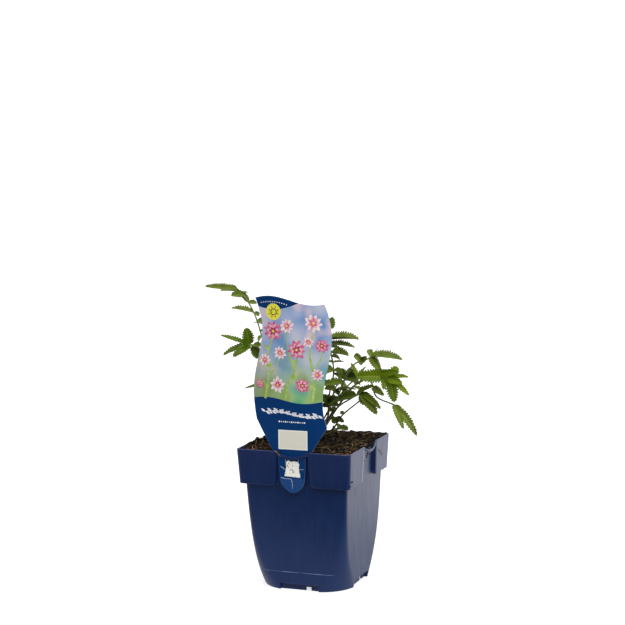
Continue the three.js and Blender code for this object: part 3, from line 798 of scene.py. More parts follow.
def makeStuckStraws():
    lines = [Line([Vector(point) for point in points], 8) for points in straws]
    tubes = [addTube("straw", line, 6, 10, lambda part, angle: 0.3 - 0.12 * part) for line in lines]
    stalks = joinAll("stuckStraws", tubes)
    smoothBelow(stalks, 80)
    return stalks


dress(makeStuckBits(), peatMaterial("stuckPeat", "#050403", "#18120c", 0.6), "soil")
dress(makeStuckStraws(), fibreMaterial("strawOnPot", "#7d5f2c", "#b8945a"), "soil")
print("soil made")


# crown

crown = {
    "x": -2.5, "y": 12, "top": 130.4, "depth": 24, "radius": 12.5, "inset": 1, "sink": 0.9,
    "sides": 48, "rings": 30, "capRings": 10, "bark": 0.5, "barkSize": 2.6,
}
roots = {"count": 4, "thick": 2.4, "thin": 0.9, "reach": 20, "moreReach": 5, "drop": 38, "moreDrop": 9}
crownProfile = [(0.0, 0.98), (0.12, 1.0), (0.5, 0.85), (1.0, 0.35)]


def crownWidth(drop):
    for (d0, w0), (d1, w1) in zip(crownProfile, crownProfile[1:]):
        if drop <= d1:
            return mix(w0, w1, (drop - d0) / (d1 - d0))
    return crownProfile[-1][1]


def rootRadius(part, angle):
    return mix(roots["thick"], roots["thin"], part) * (0.9 + 0.1 * math.sin(3 * angle + 20 * part))


def makeCrown():
    rings, sides, capRings = crown["rings"], crown["sides"], crown["capRings"]

    def place(column, row):
        angle = 2 * math.pi * column / sides
        if row < capRings:
            part, drop = (row + 0.4) / capRings, 0.0
            rise = 0.3 - 1.1 * part ** 6
        else:
            part, drop = 1.0, (row - capRings) / (rings - capRings)
            rise = -0.8
        knob = 1 + 0.06 * math.sin(3 * angle - 8 * drop) + 0.03 * math.cos(5 * angle)
        radius = (crown["radius"] - crown["inset"]) * crownWidth(drop) * knob * part
        point = Vector((crown["x"] + radius * math.cos(angle), crown["y"] + radius * math.sin(angle),
                        crown["top"] - crown["sink"] + rise - crown["depth"] * 0.97 * drop))
        bark = crown["bark"] * noise.fractal(point / crown["barkSize"], 0.6, 2.0, 3)
        point.z += bark if part < 1 else 0
        outward = Vector((math.cos(angle), math.sin(angle), 0))
        return point + outward * (bark if part == 1 else 0)

    parts = [addWrapped("crownKnob", sides, rings, place)]
    start = Vector((crown["x"], crown["y"], crown["top"] - crown["depth"] * 0.6))
    for i in range(roots["count"]):
        turn = 2 * math.pi * (i + 0.3) / roots["count"]
        reach = roots["reach"] + roots["moreReach"] * (i % 3)
        drop = roots["drop"] + roots["moreDrop"] * ((2 * i) % 5)
        way = Vector((math.cos(turn), math.sin(turn), 0))
        bend = start + way * reach * 0.62 - Vector((0, 0, drop * 0.25))
        line = Line([start, bend, start + way * reach - Vector((0, 0, drop))], 12)
        parts.append(addTube("rootTube", line, 10, 24, rootRadius))
    piece = joinAll("rootCrown", parts)
    smoothBelow(piece, 50)
    return piece


dress(makeCrown(), peatMaterial("crownBark", "#2b1d11", "#6a4c2e", 0.8), "crown", "crown")
print("crown made")


# leaves

leafStyle = {
    "thick": 0.32, "stemPart": 0.09, "stemHalf": 0.32, "arch": 0.03, "tilt": 0.35,
    "towards": (0.37, -0.92, 0.12),
    "toothPitch": 2.8, "fewestTeeth": 4, "mostTeeth": 11, "toothDepth": 0.36, "sweep": 0.25,
    "quilt": 0.16, "wave": 0.22, "seed": 40,
}
stalkStyle = {"foot": 126.4, "upright": 5, "footRadius": 1.0, "tipRadius": 0.7, "sides": 8, "step": 3.2}
seatRings = [(1.8, 3, 20), (4.9, 6, -5), (8.3, 9, 0)]  # radius, number of seats, angle of the first
leafColumns = [-1.0, -0.82, -0.5, -0.2, 0.0, 0.2, 0.5, 0.82, 1.0]
tooth = [(0.0, 1.0), (0.22, 0.5), (0.5, 0.08), (0.74, 0.0), (0.88, 0.35)]  # place along, depth of the cut
toothPeak = 0.7
leafMap = {"teeth": 16, "start": 0.2}  # a blade's map runs upward through this many teeth, from this place

# name, seat as (ring, number), tone, fold in degrees and places along the stalk; then of each leaflet its
# place along the stalk, its tip, its width and how far it faces the front
leaves = [
    ("leaf_tall_left", (1, 3), "mid", 42,
     [(-16, 12, 158), (-38, 10, 192), (-52, 8, 220), (-56, 7, 234), (-59, 5, 245), (-66, 2, 260),
      (-74, 1, 269)],
     [(1, -107, 0, 271, 10, 0.55), (0.98, -88, -8, 268, 8.5, 0.45), (0.95, -77, -8, 264, 11, 0.7),
      (0.97, -66, 9, 265, 4, 0.4), (0.9, -76, 8, 267, 8, 0.5), (0.9, -60, 13, 255, 6, 0.85),
      (0.83, -77, -8, 252, 10, 0.45), (0.83, -58, 14, 244, 6, 0.85), (0.78, -56, 15, 237, 9, 0.85),
      (0.77, -57, -2, 238, 3, 0.3), (0.72, -50, 14, 224, 8, 0.4), (0.69, -53, -2, 221, 5, 0.6)]),
    ("leaf_low_left", (2, 5), "fresh", 24,
     [(-14, 4, 160), (-36, -4, 198), (-52, -8, 217), (-59, -10, 219)],
     [(1, -84, -18, 228, 7, 0.4), (1, -60, -13, 235, 13, 1), (1, -80, -22, 210, 9, 0.4),
      (0.99, -69, -24, 209, 11, 0.65), (0.97, -53, -2, 205, 11, 0.6), (0.97, -44, -15, 219, 8, 0.4),
      (0.85, -38, 6, 212, 9, 0.4)]),
    ("leaf_small_left", (2, 4), "mid", 30,
     [(-20, 9, 150), (-38, 5, 168), (-50, 2, 180)],
     [(1, -69, 0, 176, 5, 0.4), (0.85, -50, 16, 180, 8, 0.3), (0.82, -46, -14, 180, 8, 0.4),
      (0.66, -30, 20, 173, 7, 0.3), (0.62, -28, -8, 173, 7, 0.3)]),
    ("leaf_upright", (0, 2), "mid", 46,
     [(9, 10, 146), (10, 12, 159), (10, 16, 173), (13.6, 18, 192), (10.5, 20, 208), (6.5, 21, 221),
      (9, 21, 232)],
     [(1, 12.8, 20, 243, 13, 0.9), (0.9, 39, 18, 223, 17, 0.42), (0.86, 34, 20, 215, 12, 0.4),
      (0.84, 18, 30, 211, 8, 0.3), (0.79, 30, 14, 208, 15, 0.45), (0.76, 16, 28, 202, 9, 0.45),
      (0.71, 22, 24, 201, 5, 0.3), (0.71, 5, 17, 201, 6, 0.3), (0.65, 4, 14, 191, 15, 0.5),
      (0.64, 23, 16, 192, 9, 0.5), (0.62, 23, 14, 186, 6, 0.5), (0.94, -13, 26, 224, 14, 0.3),
      (0.88, -12, 26, 214, 12, 0.3)]),
    ("leaf_high_right", (0, 0), "mid", 42,
     [(12, 12, 151), (18, 15, 168), (25, 14, 184), (33, 12, 198), (40, 10, 203), (51, 6, 207),
      (56, 4, 210)],
     [(1, 86, 2, 208, 15, 0.42), (0.99, 67, -4, 198, 12, 0.85), (0.99, 50, 12, 215, 8, 0.75),
      (1, 61, 8, 217, 1.8, 1), (0.87, 36, 14, 210, 8.5, 0.85), (0.88, 51, 4, 210, 8, 0.85),
      (0.86, 47, 0, 202, 9, 0.85), (0.61, 42, 12, 182, 8, 0.4), (0.59, 7, 8, 181, 12, 0.5)]),
    ("leaf_young", (1, 0), "young", 20,
     [(17.6, 6.5, 160), (25, 7, 174), (37, 4, 186), (53, -4, 195), (69, -10, 196), (80, -14, 194)],
     [(1, 85, -10, 204, 11, 0.9), (1, 98, -18, 196, 7, 0.45), (0.99, 101, -26, 181, 7, 0.55),
      (0.99, 85, -19, 173, 13, -1), (0.96, 75, -20, 184, 8, 0.85), (0.97, 50, -22, 195, 14, 0.85),
      (0.8, 91, -24, 202, 9, 0.9), (0.66, 37, 0, 204, 5, 0.45), (0.95, 94, -24, 191, 10, 0.9)]),
    ("leaf_fore_right", (1, 5), "mid", 38,
     [(15, 4, 153), (26, -1, 164), (39, -9, 172), (48, -14, 177), (54, -16, 180)],
     [(0.9, 67, -20, 187, 10, 0.4), (0.91, 25, -4, 169, 13, 0.6), (0.99, 70, -24, 162, 14, 0.75),
      (0.97, 55, -13, 168, 11, 0.85), (0.98, 73, -22, 167, 9, 0.7)]),
    ("leaf_arching", (1, 1), "mid", 34,
     [(10, 19, 149), (21, 16, 164), (39, 8, 183), (51, 2, 189), (58, -3, 187), (64, -9, 176),
      (83, -15, 170)],
     [(1, 106, -20, 144, 10, 0.8), (1, 96, -28, 151, 8.5, 0.8), (0.77, 74, -16, 178, 9, 0.75),
      (0.7, 61, 16, 187, 9, 0.5), (0.61, 46, 18, 194, 8, 0.3)]),
    ("leaf_inner_right", (0, 1), "deep", 34,
     [(8, 24, 160), (12, 26, 176), (19, 25, 182), (26, 22, 186)],
     [(0.7, -1, 28, 183, 9, 0.5), (1, 38, 18, 190, 11, 0.75), (1, 27, 28, 195, 10, 0.7),
      (0.95, 12, 32, 193, 12, 0.7)]),
    ("leaf_flat_right", (1, 4), "deep", 30,
     [(11, 6, 151), (16, 3, 169), (22, 2, 179)],
     [(1, 43, -2, 180, 5, 0.35), (0.98, 36, -4, 179, 4, 0.35), (0.97, 25, 0, 174, 6, 0.5),
      (0.99, 10, 2, 179, 8, 0.4)]),
    ("leaf_low_right", (2, 7), "deep", 30,
     [(13, 1, 149), (15, -1, 159), (16, -3, 167)],
     [(1, 11, -10, 174, 12, 0.6), (0.99, 32, -18, 174, 12, 0.7), (0.96, 30, -12, 166, 9, 0.6),
      (0.95, 12, -9, 164, 8, 0.6), (0.81, 20, 6, 161, 5, 0.5), (0.75, 16, -7, 156, 5, 0.5)]),
    ("leaf_thread", (2, 0), "fresh", 22,
     [(17, 8, 142), (28, 0, 155), (47, -6, 170)],
     [(1, 51, -7, 173, 4, 0.5), (0.68, 28, -6, 158, 5, 0.35)]),
    ("leaf_basal", (2, 8), "deep", 26,
     [(24, -1, 143), (23, -2, 149), (23, -2, 154)],
     [(0.99, 32, -6, 150, 6, 0.7), (0.97, 21, -8, 149, 9, 0.85)]),
    ("leaf_basal_right", (2, 1), "mid", 24,
     [(12, 19, 137), (17, 20, 139)],
     [(0.99, 27, 17, 138.2, 11, 0.5), (0.95, 19, 24, 140, 9, 0.5), (0.86, 14, 12, 139, 8, 0.7)]),
    ("leaf_back_left", (2, 3), "mid", 34,
     [(-14, 24, 160), (-27, 34, 186), (-42, 42, 200)],
     [(1, -66, 50, 203, 13, 0.2), (0.9, -36, 56, 204, 11, 0), (0.88, -54, 26, 200, 12, 0.3),
      (0.74, -20, 53, 190, 11, 0), (0.72, -44, 22, 188, 11, 0.3), (0.58, -8, 42, 173, 9, 0),
      (0.55, -33, 27, 167, 9, 0.3)]),
    ("leaf_back_tall", (1, 2), "mid", 40,
     [(-6, 24, 165), (-14, 32, 205), (-24, 34, 234)],
     [(1, -38, 34, 256, 11, 0.5), (0.93, -50, 30, 238, 13, 0.2), (0.91, -6, 42, 242, 12, 0.2),
      (0.82, -40, 30, 222, 13, 0.2), (0.8, 2, 42, 228, 12, 0), (0.69, -32, 32, 206, 11, 0.2),
      (0.67, 6, 40, 208, 11, 0)]),
    ("leaf_back_right", (2, 2), "mid", 34,
     [(10, 32, 154), (20, 42, 172), (32, 46, 180)],
     [(1, 48, 46, 181, 11, 0), (0.88, 32, 55, 192, 9, 0), (0.84, 38, 30, 172, 9, 0.2),
      (0.68, 8, 54, 178, 9, 0)]),
    ("leaf_behind_label", (2, 6), "fresh", 30,
     [(-4, -6, 156), (-10, -16, 186), (-16, -20, 206)],
     [(1, -24, -24, 226, 11, 0.3), (0.9, -38, -22, 212, 11, 0), (0.88, 6, -24, 212, 11, 0),
      (0.72, -32, -18, 192, 10, 0), (0.7, 10, -22, 190, 10, 0)]),
]

leafTones = {  # upper side, under side, veins
    "young": ("#586e00", "#7a8e18", "#93a434"),
    "fresh": ("#4c6400", "#5e7212", "#7a8c30"),
    "mid": ("#5f7022", "#768539", "#909d52"),
    "deep": ("#3d4a0e", "#566222", "#6d7a3a"),
    # painted shade: a darker copy of mid, for a leaf that lies in shade
    "shaded": ("#475613", "#5c6a24", "#748138"),
}
# leaves dressed in the painted-shade tone instead of their own
paintedShadeTones = {"leaf_fore_right": "shaded"}
leafVeins = {"side": (0.02, 0.16), "rib": (0.015, 0.055), "fade": (0.05, 0.48, 0.75, 0.25), "strength": 0.5}


def bladeHalf(t):
    return max(math.sin(math.pi * t ** 0.72), 0) ** (0.5 + 0.05 * t)


def leafletRows(teeth):
    # rows along a leaflet: (place from foot to tip, cut of the edge, count of teeth so far)
    rows = [(0.0, 0.0, -1.0), (leafStyle["stemPart"] * 0.5, 0.0, -0.6), (leafStyle["stemPart"], 0.0, -0.3)]
    step = (1 - leafStyle["stemPart"]) / (teeth + 0.5)
    for i in range(teeth):
        for place, cut in tooth:
            depth = 0.0 if i == 0 and place == 0 else cut
            rows.append((leafStyle["stemPart"] + step * (i + place + 0.12), depth, i + place - toothPeak))
    rows.append((leafStyle["stemPart"] + step * (teeth + 0.12), 1.0, teeth - toothPeak))
    rows.append((1.0, 0.0, teeth + 0.1))
    return rows


def addLeaflet(name, foot, tip, width, face, fold, outward, draw):
    along = tip - foot
    length = along.length
    along.normalize()
    # a minus sign before face folds the blade's edges back instead of forward
    turnedBack = math.copysign(1, face)
    face = abs(face)
    up = (Vector((0, 0, 1)) + outward * leafStyle["tilt"]) * (1 - face) + Vector(leafStyle["towards"]) * face
    up = (up - along * up.dot(along)).normalized()
    side = along.cross(up)
    rise = math.tan(math.radians(fold)) * turnedBack
    spread = math.cos(math.radians(fold)) * width / 2
    teeth = round(length / leafStyle["toothPitch"])
    teeth = int(clamp(teeth, leafStyle["fewestTeeth"], leafStyle["mostTeeth"]))
    rows = leafletRows(teeth)
    swing = draw.uniform(-0.035, 0.035) * length
    roll = draw.uniform(-0.25, 0.25)
    ripple = draw.uniform(0, 6)
    size = clamp(width / 10)

    def place(column, row):
        across = leafColumns[column]
        t, cut, count = rows[row]
        half = max(spread * bladeHalf(t) * (1 - leafStyle["toothDepth"] * cut), leafStyle["stemHalf"])
        if t >= 1:
            half = leafStyle["stemHalf"] * 0.5
        blade = half - leafStyle["stemHalf"]
        reach = abs(across)
        forward = t * length + leafStyle["sweep"] * blade * reach * (1 - 0.5 * t)
        shift = swing * math.sin(math.pi * t)
        bend = leafStyle["arch"] * length * 4 * t * (1 - t)
        lift = max(blade, 0) * rise * reach ** 1.25
        quilt = leafStyle["quilt"] * size * math.sin(math.pi * min(reach, 0.96))
        quilt *= math.sin(math.pi * count) ** 2
        wave = leafStyle["wave"] * size * reach ** 2 * math.sin(count * 1.9 + ripple)
        wave *= 1 if across > 0 else -1
        twist = roll * t * half * across
        return (foot + along * forward + side * (half * across + shift)
                + up * (bend + lift + quilt * 0.8 + wave * min(blade, 1) + twist))

    def mapPlace(column, row):
        return leafColumns[column] / 2 + 0.5, rows[row][2] / leafMap["teeth"] + leafMap["start"]

    blade = addSheet(name, len(leafColumns) - 1, len(rows) - 1, place)
    paintUv(blade, len(leafColumns) - 1, len(rows) - 1, mapPlace)
    return blade


def seatPoint(seat, z):
    radius, count, first = seatRings[seat[0]]
    angle = math.radians(first + 360 / count * seat[1])
    return Vector((crown["x"] + radius * math.cos(angle), crown["y"] + radius * math.sin(angle), z))


def pieceName(nodeName):
    first, *others = nodeName.split("_")
    return first + "".join(word.capitalize() for word in others)


def makeLeaf(nodeName, seat, tone, fold, points, leaflets, materials):
    draw = random.Random(leafStyle["seed"] + len(nodeName) + len(leaflets))
    foot = stalkStyle["foot"]
    line = Line([seatPoint(seat, foot), seatPoint(seat, foot + stalkStyle["upright"]),
                 *(Vector(point) for point in points)])
    joints = [at for at, *rest in leaflets]

    def radiusAt(part, angle):
        radius = mix(stalkStyle["footRadius"], stalkStyle["tipRadius"], part ** 0.8)
        radius *= 1 + 0.35 * math.exp(-(part * line.length / 7) ** 2)
        swell = sum(math.exp(-((part - at) * line.length / 1.1) ** 2) for at in joints)
        groove = 1 - 0.16 * max(math.cos(angle), 0) ** 4
        return radius * groove * (1 + 0.3 * min(swell, 1))

    stalk = addTube("stalkTube", line, stalkStyle["sides"], round(line.length / stalkStyle["step"]), radiusAt)
    stalk.data.materials.append(materials["stalk"])
    blades = []
    for at, x, y, z, width, face in leaflets:
        start = line.at(at)
        outward = Vector((start.x - crown["x"], start.y - crown["y"], 0)).normalized()
        blades.append(addLeaflet("leaflet", start, Vector((x, y, z)), width, face, fold, outward, draw))
    blade = joinAll("blades", blades)
    blade.data.materials.append(materials[tone])
    blade.data.materials.append(materials[tone + "Under"])
    applyModifier(blade, "SOLIDIFY", thickness=leafStyle["thick"] * mm, offset=-1, material_offset=1,
                  material_offset_rim=0, use_even_offset=False)
    smoothBelow(blade, 70)
    smoothBelow(stalk, 80)
    return joinAll(pieceName(nodeName), [stalk, blade])


def bladeMaterial(name, face, vein):
    # veins follow the blade's own map: u runs across it, and v counts its teeth
    startMaterial(name)
    u, v, _ = axes(addNode("ShaderNodeUVMap").outputs[0])
    place = objectPlace()
    blotch = noiseOf(place, 60, 3)
    cells = noiseOf(place, 1500, 2)
    count = times(minus(v, leafMap["start"]), leafMap["teeth"])
    fromVein = sizeOf(minus(calc("FRACT", calc("ADD", count, 8.5)), 0.5))
    sideVein = remap(fromVein, *leafVeins["side"], 1, 0)
    fromRib = sizeOf(minus(u, 0.5))
    rib = remap(fromRib, *leafVeins["rib"], 1, 0)
    sideVein = times(sideVein, remap(fromRib, *leafVeins["fade"]))
    lines = calc("MAXIMUM", sideVein, rib)
    base = linear(face)
    darker = [c * 0.72 for c in base[:3]] + [1]
    lighter = [min(c * 1.28, 1) for c in base[:3]] + [1]
    tint = ramp(blotch, (0.3, darker), (0.7, lighter))
    tint = blend(times(lines, leafVeins["strength"]), tint, vein)
    height = minus(times(cells, 0.25), lines)
    return endMaterial({
        "Base Color": tint, "Roughness": 0.5, "Specular IOR Level": 0.18, "Subsurface Weight": 0.06,
        "Subsurface Scale": 0.0012, "Subsurface Radius": (0.9, 1.0, 0.4),
        "Normal": bumpOf(height, 0.45, 0.0003),
    })


def stalkMaterial():
    startMaterial("leafStalk")
    place = objectPlace()
    height = axes(place)[2]
    streak = noiseOf(mapped(place, Scale=(1, 1, 0.2)), 700, 2)
    tint = ramp(remap(height, 0.13, 0.22), (0.0, "#6b5a36"), (0.35, "#5f6a34"), (1.0, "#7d8a45"))
    return endMaterial({"Base Color": blend(times(streak, 0.5), tint, "#45451f"), "Roughness": 0.5,
                        "Normal": bumpOf(streak, 0.3, 0.0002)})


leafMaterials = {"stalk": stalkMaterial()}
for toneName, (upper, under, vein) in leafTones.items():
    leafMaterials[toneName] = bladeMaterial("leaf" + toneName.capitalize(), upper, vein)
    leafMaterials[toneName + "Under"] = bladeMaterial("leafUnder" + toneName.capitalize(), under, vein)

for nodeName, seat, tone, fold, points, leaflets in leaves:
    # leaf_fore_right takes the painted-shade tone
    toneOrPaintedShade = paintedShadeTones.get(nodeName, tone)
    leafPiece = makeLeaf(nodeName, seat, toneOrPaintedShade, fold, points, leaflets, leafMaterials)
    dress(leafPiece, None, "leaf_" + tone, nodeName)
print("leaves made:", len(leaves))


# label

label = {
    "front": 53.5, "thick": 0.55, "foot": 92.7, "crease": 106, "lean": 0.14,
    "creaseHalf": 11.8, "tongueHalf": 13.8, "tipShift": 0.4, "creaseShift": -0.5, "topShift": -0.8,
    "tipAngle": 84, "tipPower": 1.3, "tipSteps": 12,
    "shoulder": 130.3, "bow": 0.0032, "bowRise": 40, "columns": 40, "lastRow": 256, "rowsAbove": 9,
}
labelLeft = {"shoulder": -18.6, "corner": 158, "middle": -32.8, "swing": -5.4, "crest": 181, "period": 126,
             "spread": 0, "taper": -0.0074, "taperFrom": 240}
labelRight = {"shoulder": 18.4, "corner": 152.6, "middle": 33.3, "swing": -4.5, "crest": 173, "period": 122,
              "spread": 0.0045, "taper": -0.0017, "taperFrom": 234}
labelTop = {"middle": 265.6, "swing": 3.9, "crest": -20, "period": 84}
fieldEdge = {"middle": 176.1, "swing": 2.35, "crest": -24.5, "period": 72}
bandEdge = {"low": 257.7, "middle": -16, "curve": 0.0098}


def waveAt(at, shape):
    return shape["middle"] + shape["swing"] * math.cos(2 * math.pi * (at - shape["crest"]) / shape["period"])


def labelSide(z, side):
    def free(height):
        spread = side["spread"] * max(side["crest"] - height, 0) ** 2
        return waveAt(height, side) + spread + side["taper"] * max(height - side["taperFrom"], 0) ** 2

    if z >= side["corner"]:
        return free(z)
    part = (z - label["shoulder"]) / (side["corner"] - label["shoulder"])
    return mix(side["shoulder"], free(side["corner"]), part)


def labelFront(x, z):
    # how far the sheet's front is from the pot's axis
    bow = label["bow"] * clamp((z - label["shoulder"]) / label["bowRise"]) * x * x
    return label["front"] - bow + label["lean"] * max(label["crease"] - z, 0)


def labelRows():
    # from the tip up: a height and half the tongue's width; above the shoulder the sides set the width
    crease, steps = label["crease"], label["tipSteps"]
    rows = []
    for i in range(steps + 1):
        angle = math.radians(label["tipAngle"] * (1 - i / steps))
        drop = (crease - label["foot"]) * math.sin(angle) / math.sin(math.radians(label["tipAngle"]))
        rows.append((crease - drop, label["creaseHalf"] * math.cos(angle) ** label["tipPower"]))
    for i in range(1, steps + 1):
        part = i / steps
        rows.append((mix(crease, label["shoulder"] - 0.1, part),
                     mix(label["creaseHalf"], label["tongueHalf"], part)))
    z = label["shoulder"]
    while z < label["lastRow"] + label["rowsAbove"]:
        rows.append((z, None))
        z += 1.0
    return rows


def makeLabel():
    rows = labelRows()
    count = label["columns"]

    def place(column, row):
        z, half = rows[row]
        if half is None:
            left, right = labelSide(z, labelLeft), labelSide(z, labelRight)
        else:
            low = smoothPart(z, label["foot"], label["crease"])
            high = smoothPart(z, label["crease"], label["shoulder"])
            shift = mix(label["tipShift"], label["creaseShift"], low)
            shift += (label["topShift"] - label["creaseShift"]) * high
            left, right = shift - half, shift + half
        x = mix(left, right, column / count)
        if z > label["lastRow"]:
            start, last = label["lastRow"], rows[-1][0]
            z = start + (z - start) * (waveAt(x, labelTop) - start) / (last - start)
        return x, -labelFront(x, z), z

    sheet = addSheet("plantLabel", count, len(rows) - 1, place)
    applyModifier(sheet, "SOLIDIFY", thickness=label["thick"] * mm, offset=-1, use_even_offset=True)
    smoothBelow(sheet, 30)
    return sheet


def waveLine(x, shape):
    angle = times(minus(x, shape["crest"]), 2 * math.pi / shape["period"])
    return calc("MULTIPLY_ADD", calc("COSINE", angle), shape["swing"], shape["middle"])


def above(value, line, soft=0.08):
    # 1 where value is above line, with an edge as soft as the print
    return remap(minus(value, line), -soft, soft)


def insideBox(x, z, left, right, low, high):
    across = times(above(x, left), above(times(x, -1), -right))
    upright = times(above(z, low), above(times(z, -1), -high))
    return times(across, upright)


labelColours = {
    "navy": "#00346b", "back": "#0a2f63", "tongueTip": "#35548a", "edge": "#8397b8", "paper": "#dedccd",
    "paperEdge": "#efeee6", "meadow": ("#86a85e", "#9cc07f", "#5fb07c"), "olive": "#8e9a62",
    "sky": ("#6f94c4", "#a3b1d4", "#c3c4d2"), "rosy": "#dfc6cf",
}
panelBox = {"left": -13.3, "right": 14.6, "low": 132, "high": 149.5, "frame": 1}
picture = {"olive": (2, -30), "horizon": (200, 245), "ragged": 40, "edge": (0.001, 0.006)}


def labelMaterial():
    startMaterial("printedLabel")
    colours = labelColours
    grass, lime, moss = colours["meadow"]
    blue, haze, cloud = colours["sky"]
    place = objectPlace()
    x, y, z = axes(mapped(place, Scale=(1000, 1000, 1000)))
    soft = noiseOf(place, 55, 1.5, 0.4)
    softer = noiseOf(mapped(place, Location=(0.3, 0, 0.1)), 42, 1, 0.4)
    # a blurred meadow under a blurred sky
    meadow = ramp(soft, (0.32, grass), (0.5, lime), (0.66, moss))
    meadow = blend(times(remap(x, *picture["olive"]), 0.75), meadow, colours["olive"])
    sky = ramp(softer, (0.34, blue), (0.5, haze), (0.64, cloud))
    rosy = noiseOf(mapped(place, Location=(0.9, 0, 0.4)), 50, 1)
    sky = blend(remap(rosy, 0.54, 0.68, 0, 0.85), sky, colours["rosy"])
    rise = calc("MULTIPLY_ADD", soft, picture["ragged"], z)
    scenery = blend(remap(rise, *picture["horizon"]), meadow, sky)
    # navy below the picture and in the band at its upper left
    field = minus(1, above(z, waveLine(x, fieldEdge)))
    fromMiddle = minus(x, bandEdge["middle"])
    bandLine = calc("MULTIPLY_ADD", times(fromMiddle, fromMiddle), bandEdge["curve"], bandEdge["low"])
    colour = blend(calc("MAXIMUM", field, above(z, bandLine)), scenery, colours["navy"])
    tongueTip = minus(1, above(z, label["crease"], 0.3))
    colour = blend(times(tongueTip, 0.35), colour, colours["tongueTip"])
    # the bare white field in its frame
    left, right, low, high, edge = panelBox.values()
    panel = insideBox(x, z, left, right, low, high)
    frameLine = minus(panel, insideBox(x, z, left + edge, right - edge, low + edge, high - edge))
    paper = blend(frameLine, colours["paper"], colours["paperEdge"])
    colour = blend(panel, colour, paper)
    # only the front is printed
    bow = times(remap(z, label["shoulder"], label["shoulder"] + label["bowRise"]), label["bow"])
    facing = above(times(y, -1), minus(label["front"] - 0.3, times(times(x, x), bow)), 0.05)
    colour = blend(facing, colours["back"], colour)
    u = axes(addNode("ShaderNodeUVMap").outputs[0])[0]
    fromEdge = calc("MINIMUM", u, minus(1, u))
    colour = blend(remap(fromEdge, *picture["edge"], 0.55, 0), colour, colours["edge"])
    return endMaterial({
        "Base Color": colour, "Roughness": remap(noiseOf(place, 90, 3), 0.35, 0.7, 0.3, 0.42),
        "Specular IOR Level": 0.17, "Normal": bumpOf(noiseOf(place, 45, 2), 0.25, 0.0008),
    })


dress(makeLabel(), labelMaterial(), "label", "label")


# printed shapes on the label: each is a thin flat shape that follows the sheet's front

ink = {"lift": 0.02, "thick": 0.03, "seed": 6}
inkLifts = {"stems": 0.0, "stemLeaves": 0.005, "wornMarks": 0.01, "ornaments": 0.02, "sign": 0.04}
stems = [  # places across and up, and the widths at both ends
    ([(-26, 177), (-22, 196), (-23, 214), (-17.5, 232)], 2.6, 1.2),
    ([(-6, 176), (-3, 190), (4, 204), (6, 216)], 2.4, 1.2),
    ([(20, 176), (22, 196), (18, 218), (22, 240)], 2.5, 1.2),
    ([(-22, 198), (-14, 206), (-11, 214)], 1.4, 0.8),
    ([(21, 205), (27, 212), (29, 221)], 1.3, 0.8),
    ([(4, 204), (-2, 222), (-3, 238)], 1.6, 0.9),
]
stemLeaves = [  # place, size and turn
    (-24, 188, 9, 55), (-23, 205, 8, -50), (0, 196, 8, -60), (21, 187, 9, 50), (21, 200, 8, -55),
    (5, 210, 7, 60), (-21, 221, 7, 50),
]
blossoms = [  # from back to front: place, size, first angle and tone
    (-16.5, 238, 9.5, 10, "rose"), (22, 246, 8.5, 40, "pale"), (-3, 243, 7, 25, "pale"),
    (6, 222, 9, 0, "rose"), (-10, 219, 6.5, 30, "pale"), (29, 226, 6.5, 15, "rose"),
    (-25.5, 212, 6, 50, "pale"), (17, 229, 5, 60, "pale"), (-13, 190, 7.5, 20, "pale"),
    (11, 190, 7, 45, "rose"), (24.5, 200, 6, 5, "pale"), (-31, 190, 4.5, 33, "rose"),
]
rings = [(9, 1.0), (7, 0.74), (6, 0.48)]  # a blossom's rings: number of petals and their length
ringInks = {
    "rose": ("rosePetals", "blushPetals", "deepPetals"), "pale": ("palePetals", "blushPetals", "rosePetals"),
}
sunSign = {
    "disc": (-15.8, 255.4), "size": 7.4, "middle": (-15.5, 255.3), "ring": 2.7, "arcs": 24,
    "rays": (3.7, 4.4, 5.2), "rayCount": 8, "lineWidth": 0.9, "rayWidth": 0.8,
}
dots = {"count": 13, "from": -12, "step": 2, "height": 157, "fall": 0.02, "size": 0.55, "larger": 0.8}
bandDots = {
    "count": 12, "from": -28, "step": 2.3, "height": 264.4, "middle": -18, "curve": 0.011, "size": 0.5,
}
garland = {
    "line": [(-28, 165), (-14, 166.5), (0, 164.2), (13, 162.6), (25, 163.6)], "width": 0.5,
    "leaves": 17, "size": 4.6, "smaller": 0.8, "turn": 62, "between": 1.4, "turnBetween": -118,
}
wornMarks = [  # places across and up, and the width
    # the first strip, along the crease, is a painted highlight
    ([(-11.4, 106.2), (-6.6, 105.4), (-1.4, 105.3)], 0.45),
    ([(-1.4, 105.1), (-0.4, 101), (-0.1, 96.8)], 0.4),
    ([(-11.9, 116.1), (-9.7, 115.2), (-7.5, 113.1)], 0.6),
    ([(7.6, 114.2), (9.3, 114.4), (11.1, 114.3)], 0.35),
    ([(-6.8, 123.2), (-6.8, 121.1), (-6.9, 119.1)], 0.4),
    ([(5.6, 123.9), (5.6, 121.8), (5.5, 119.8)], 0.4),
]
printed = {}


def inkPlace(x, z, lift):
    return x, -labelFront(x, z) - ink["lift"] - lift, z


def printShape(group, template, x, z, size, turn, lift):
    # a copy of a flat template, which lies in x and z, put on the label's front
    copy = copyTo(template, Matrix.Identity(4))
    cos, sin = math.cos(math.radians(turn)), math.sin(math.radians(turn))
    for vertex in copy.data.vertices:
        across, up = vertex.co.x / mm * size, vertex.co.z / mm * size
        px = x + across * cos - up * sin
        pz = z + across * sin + up * cos
        vertex.co = Vector(inkPlace(px, pz, lift)) * mm
    printed.setdefault(group, []).append(copy)


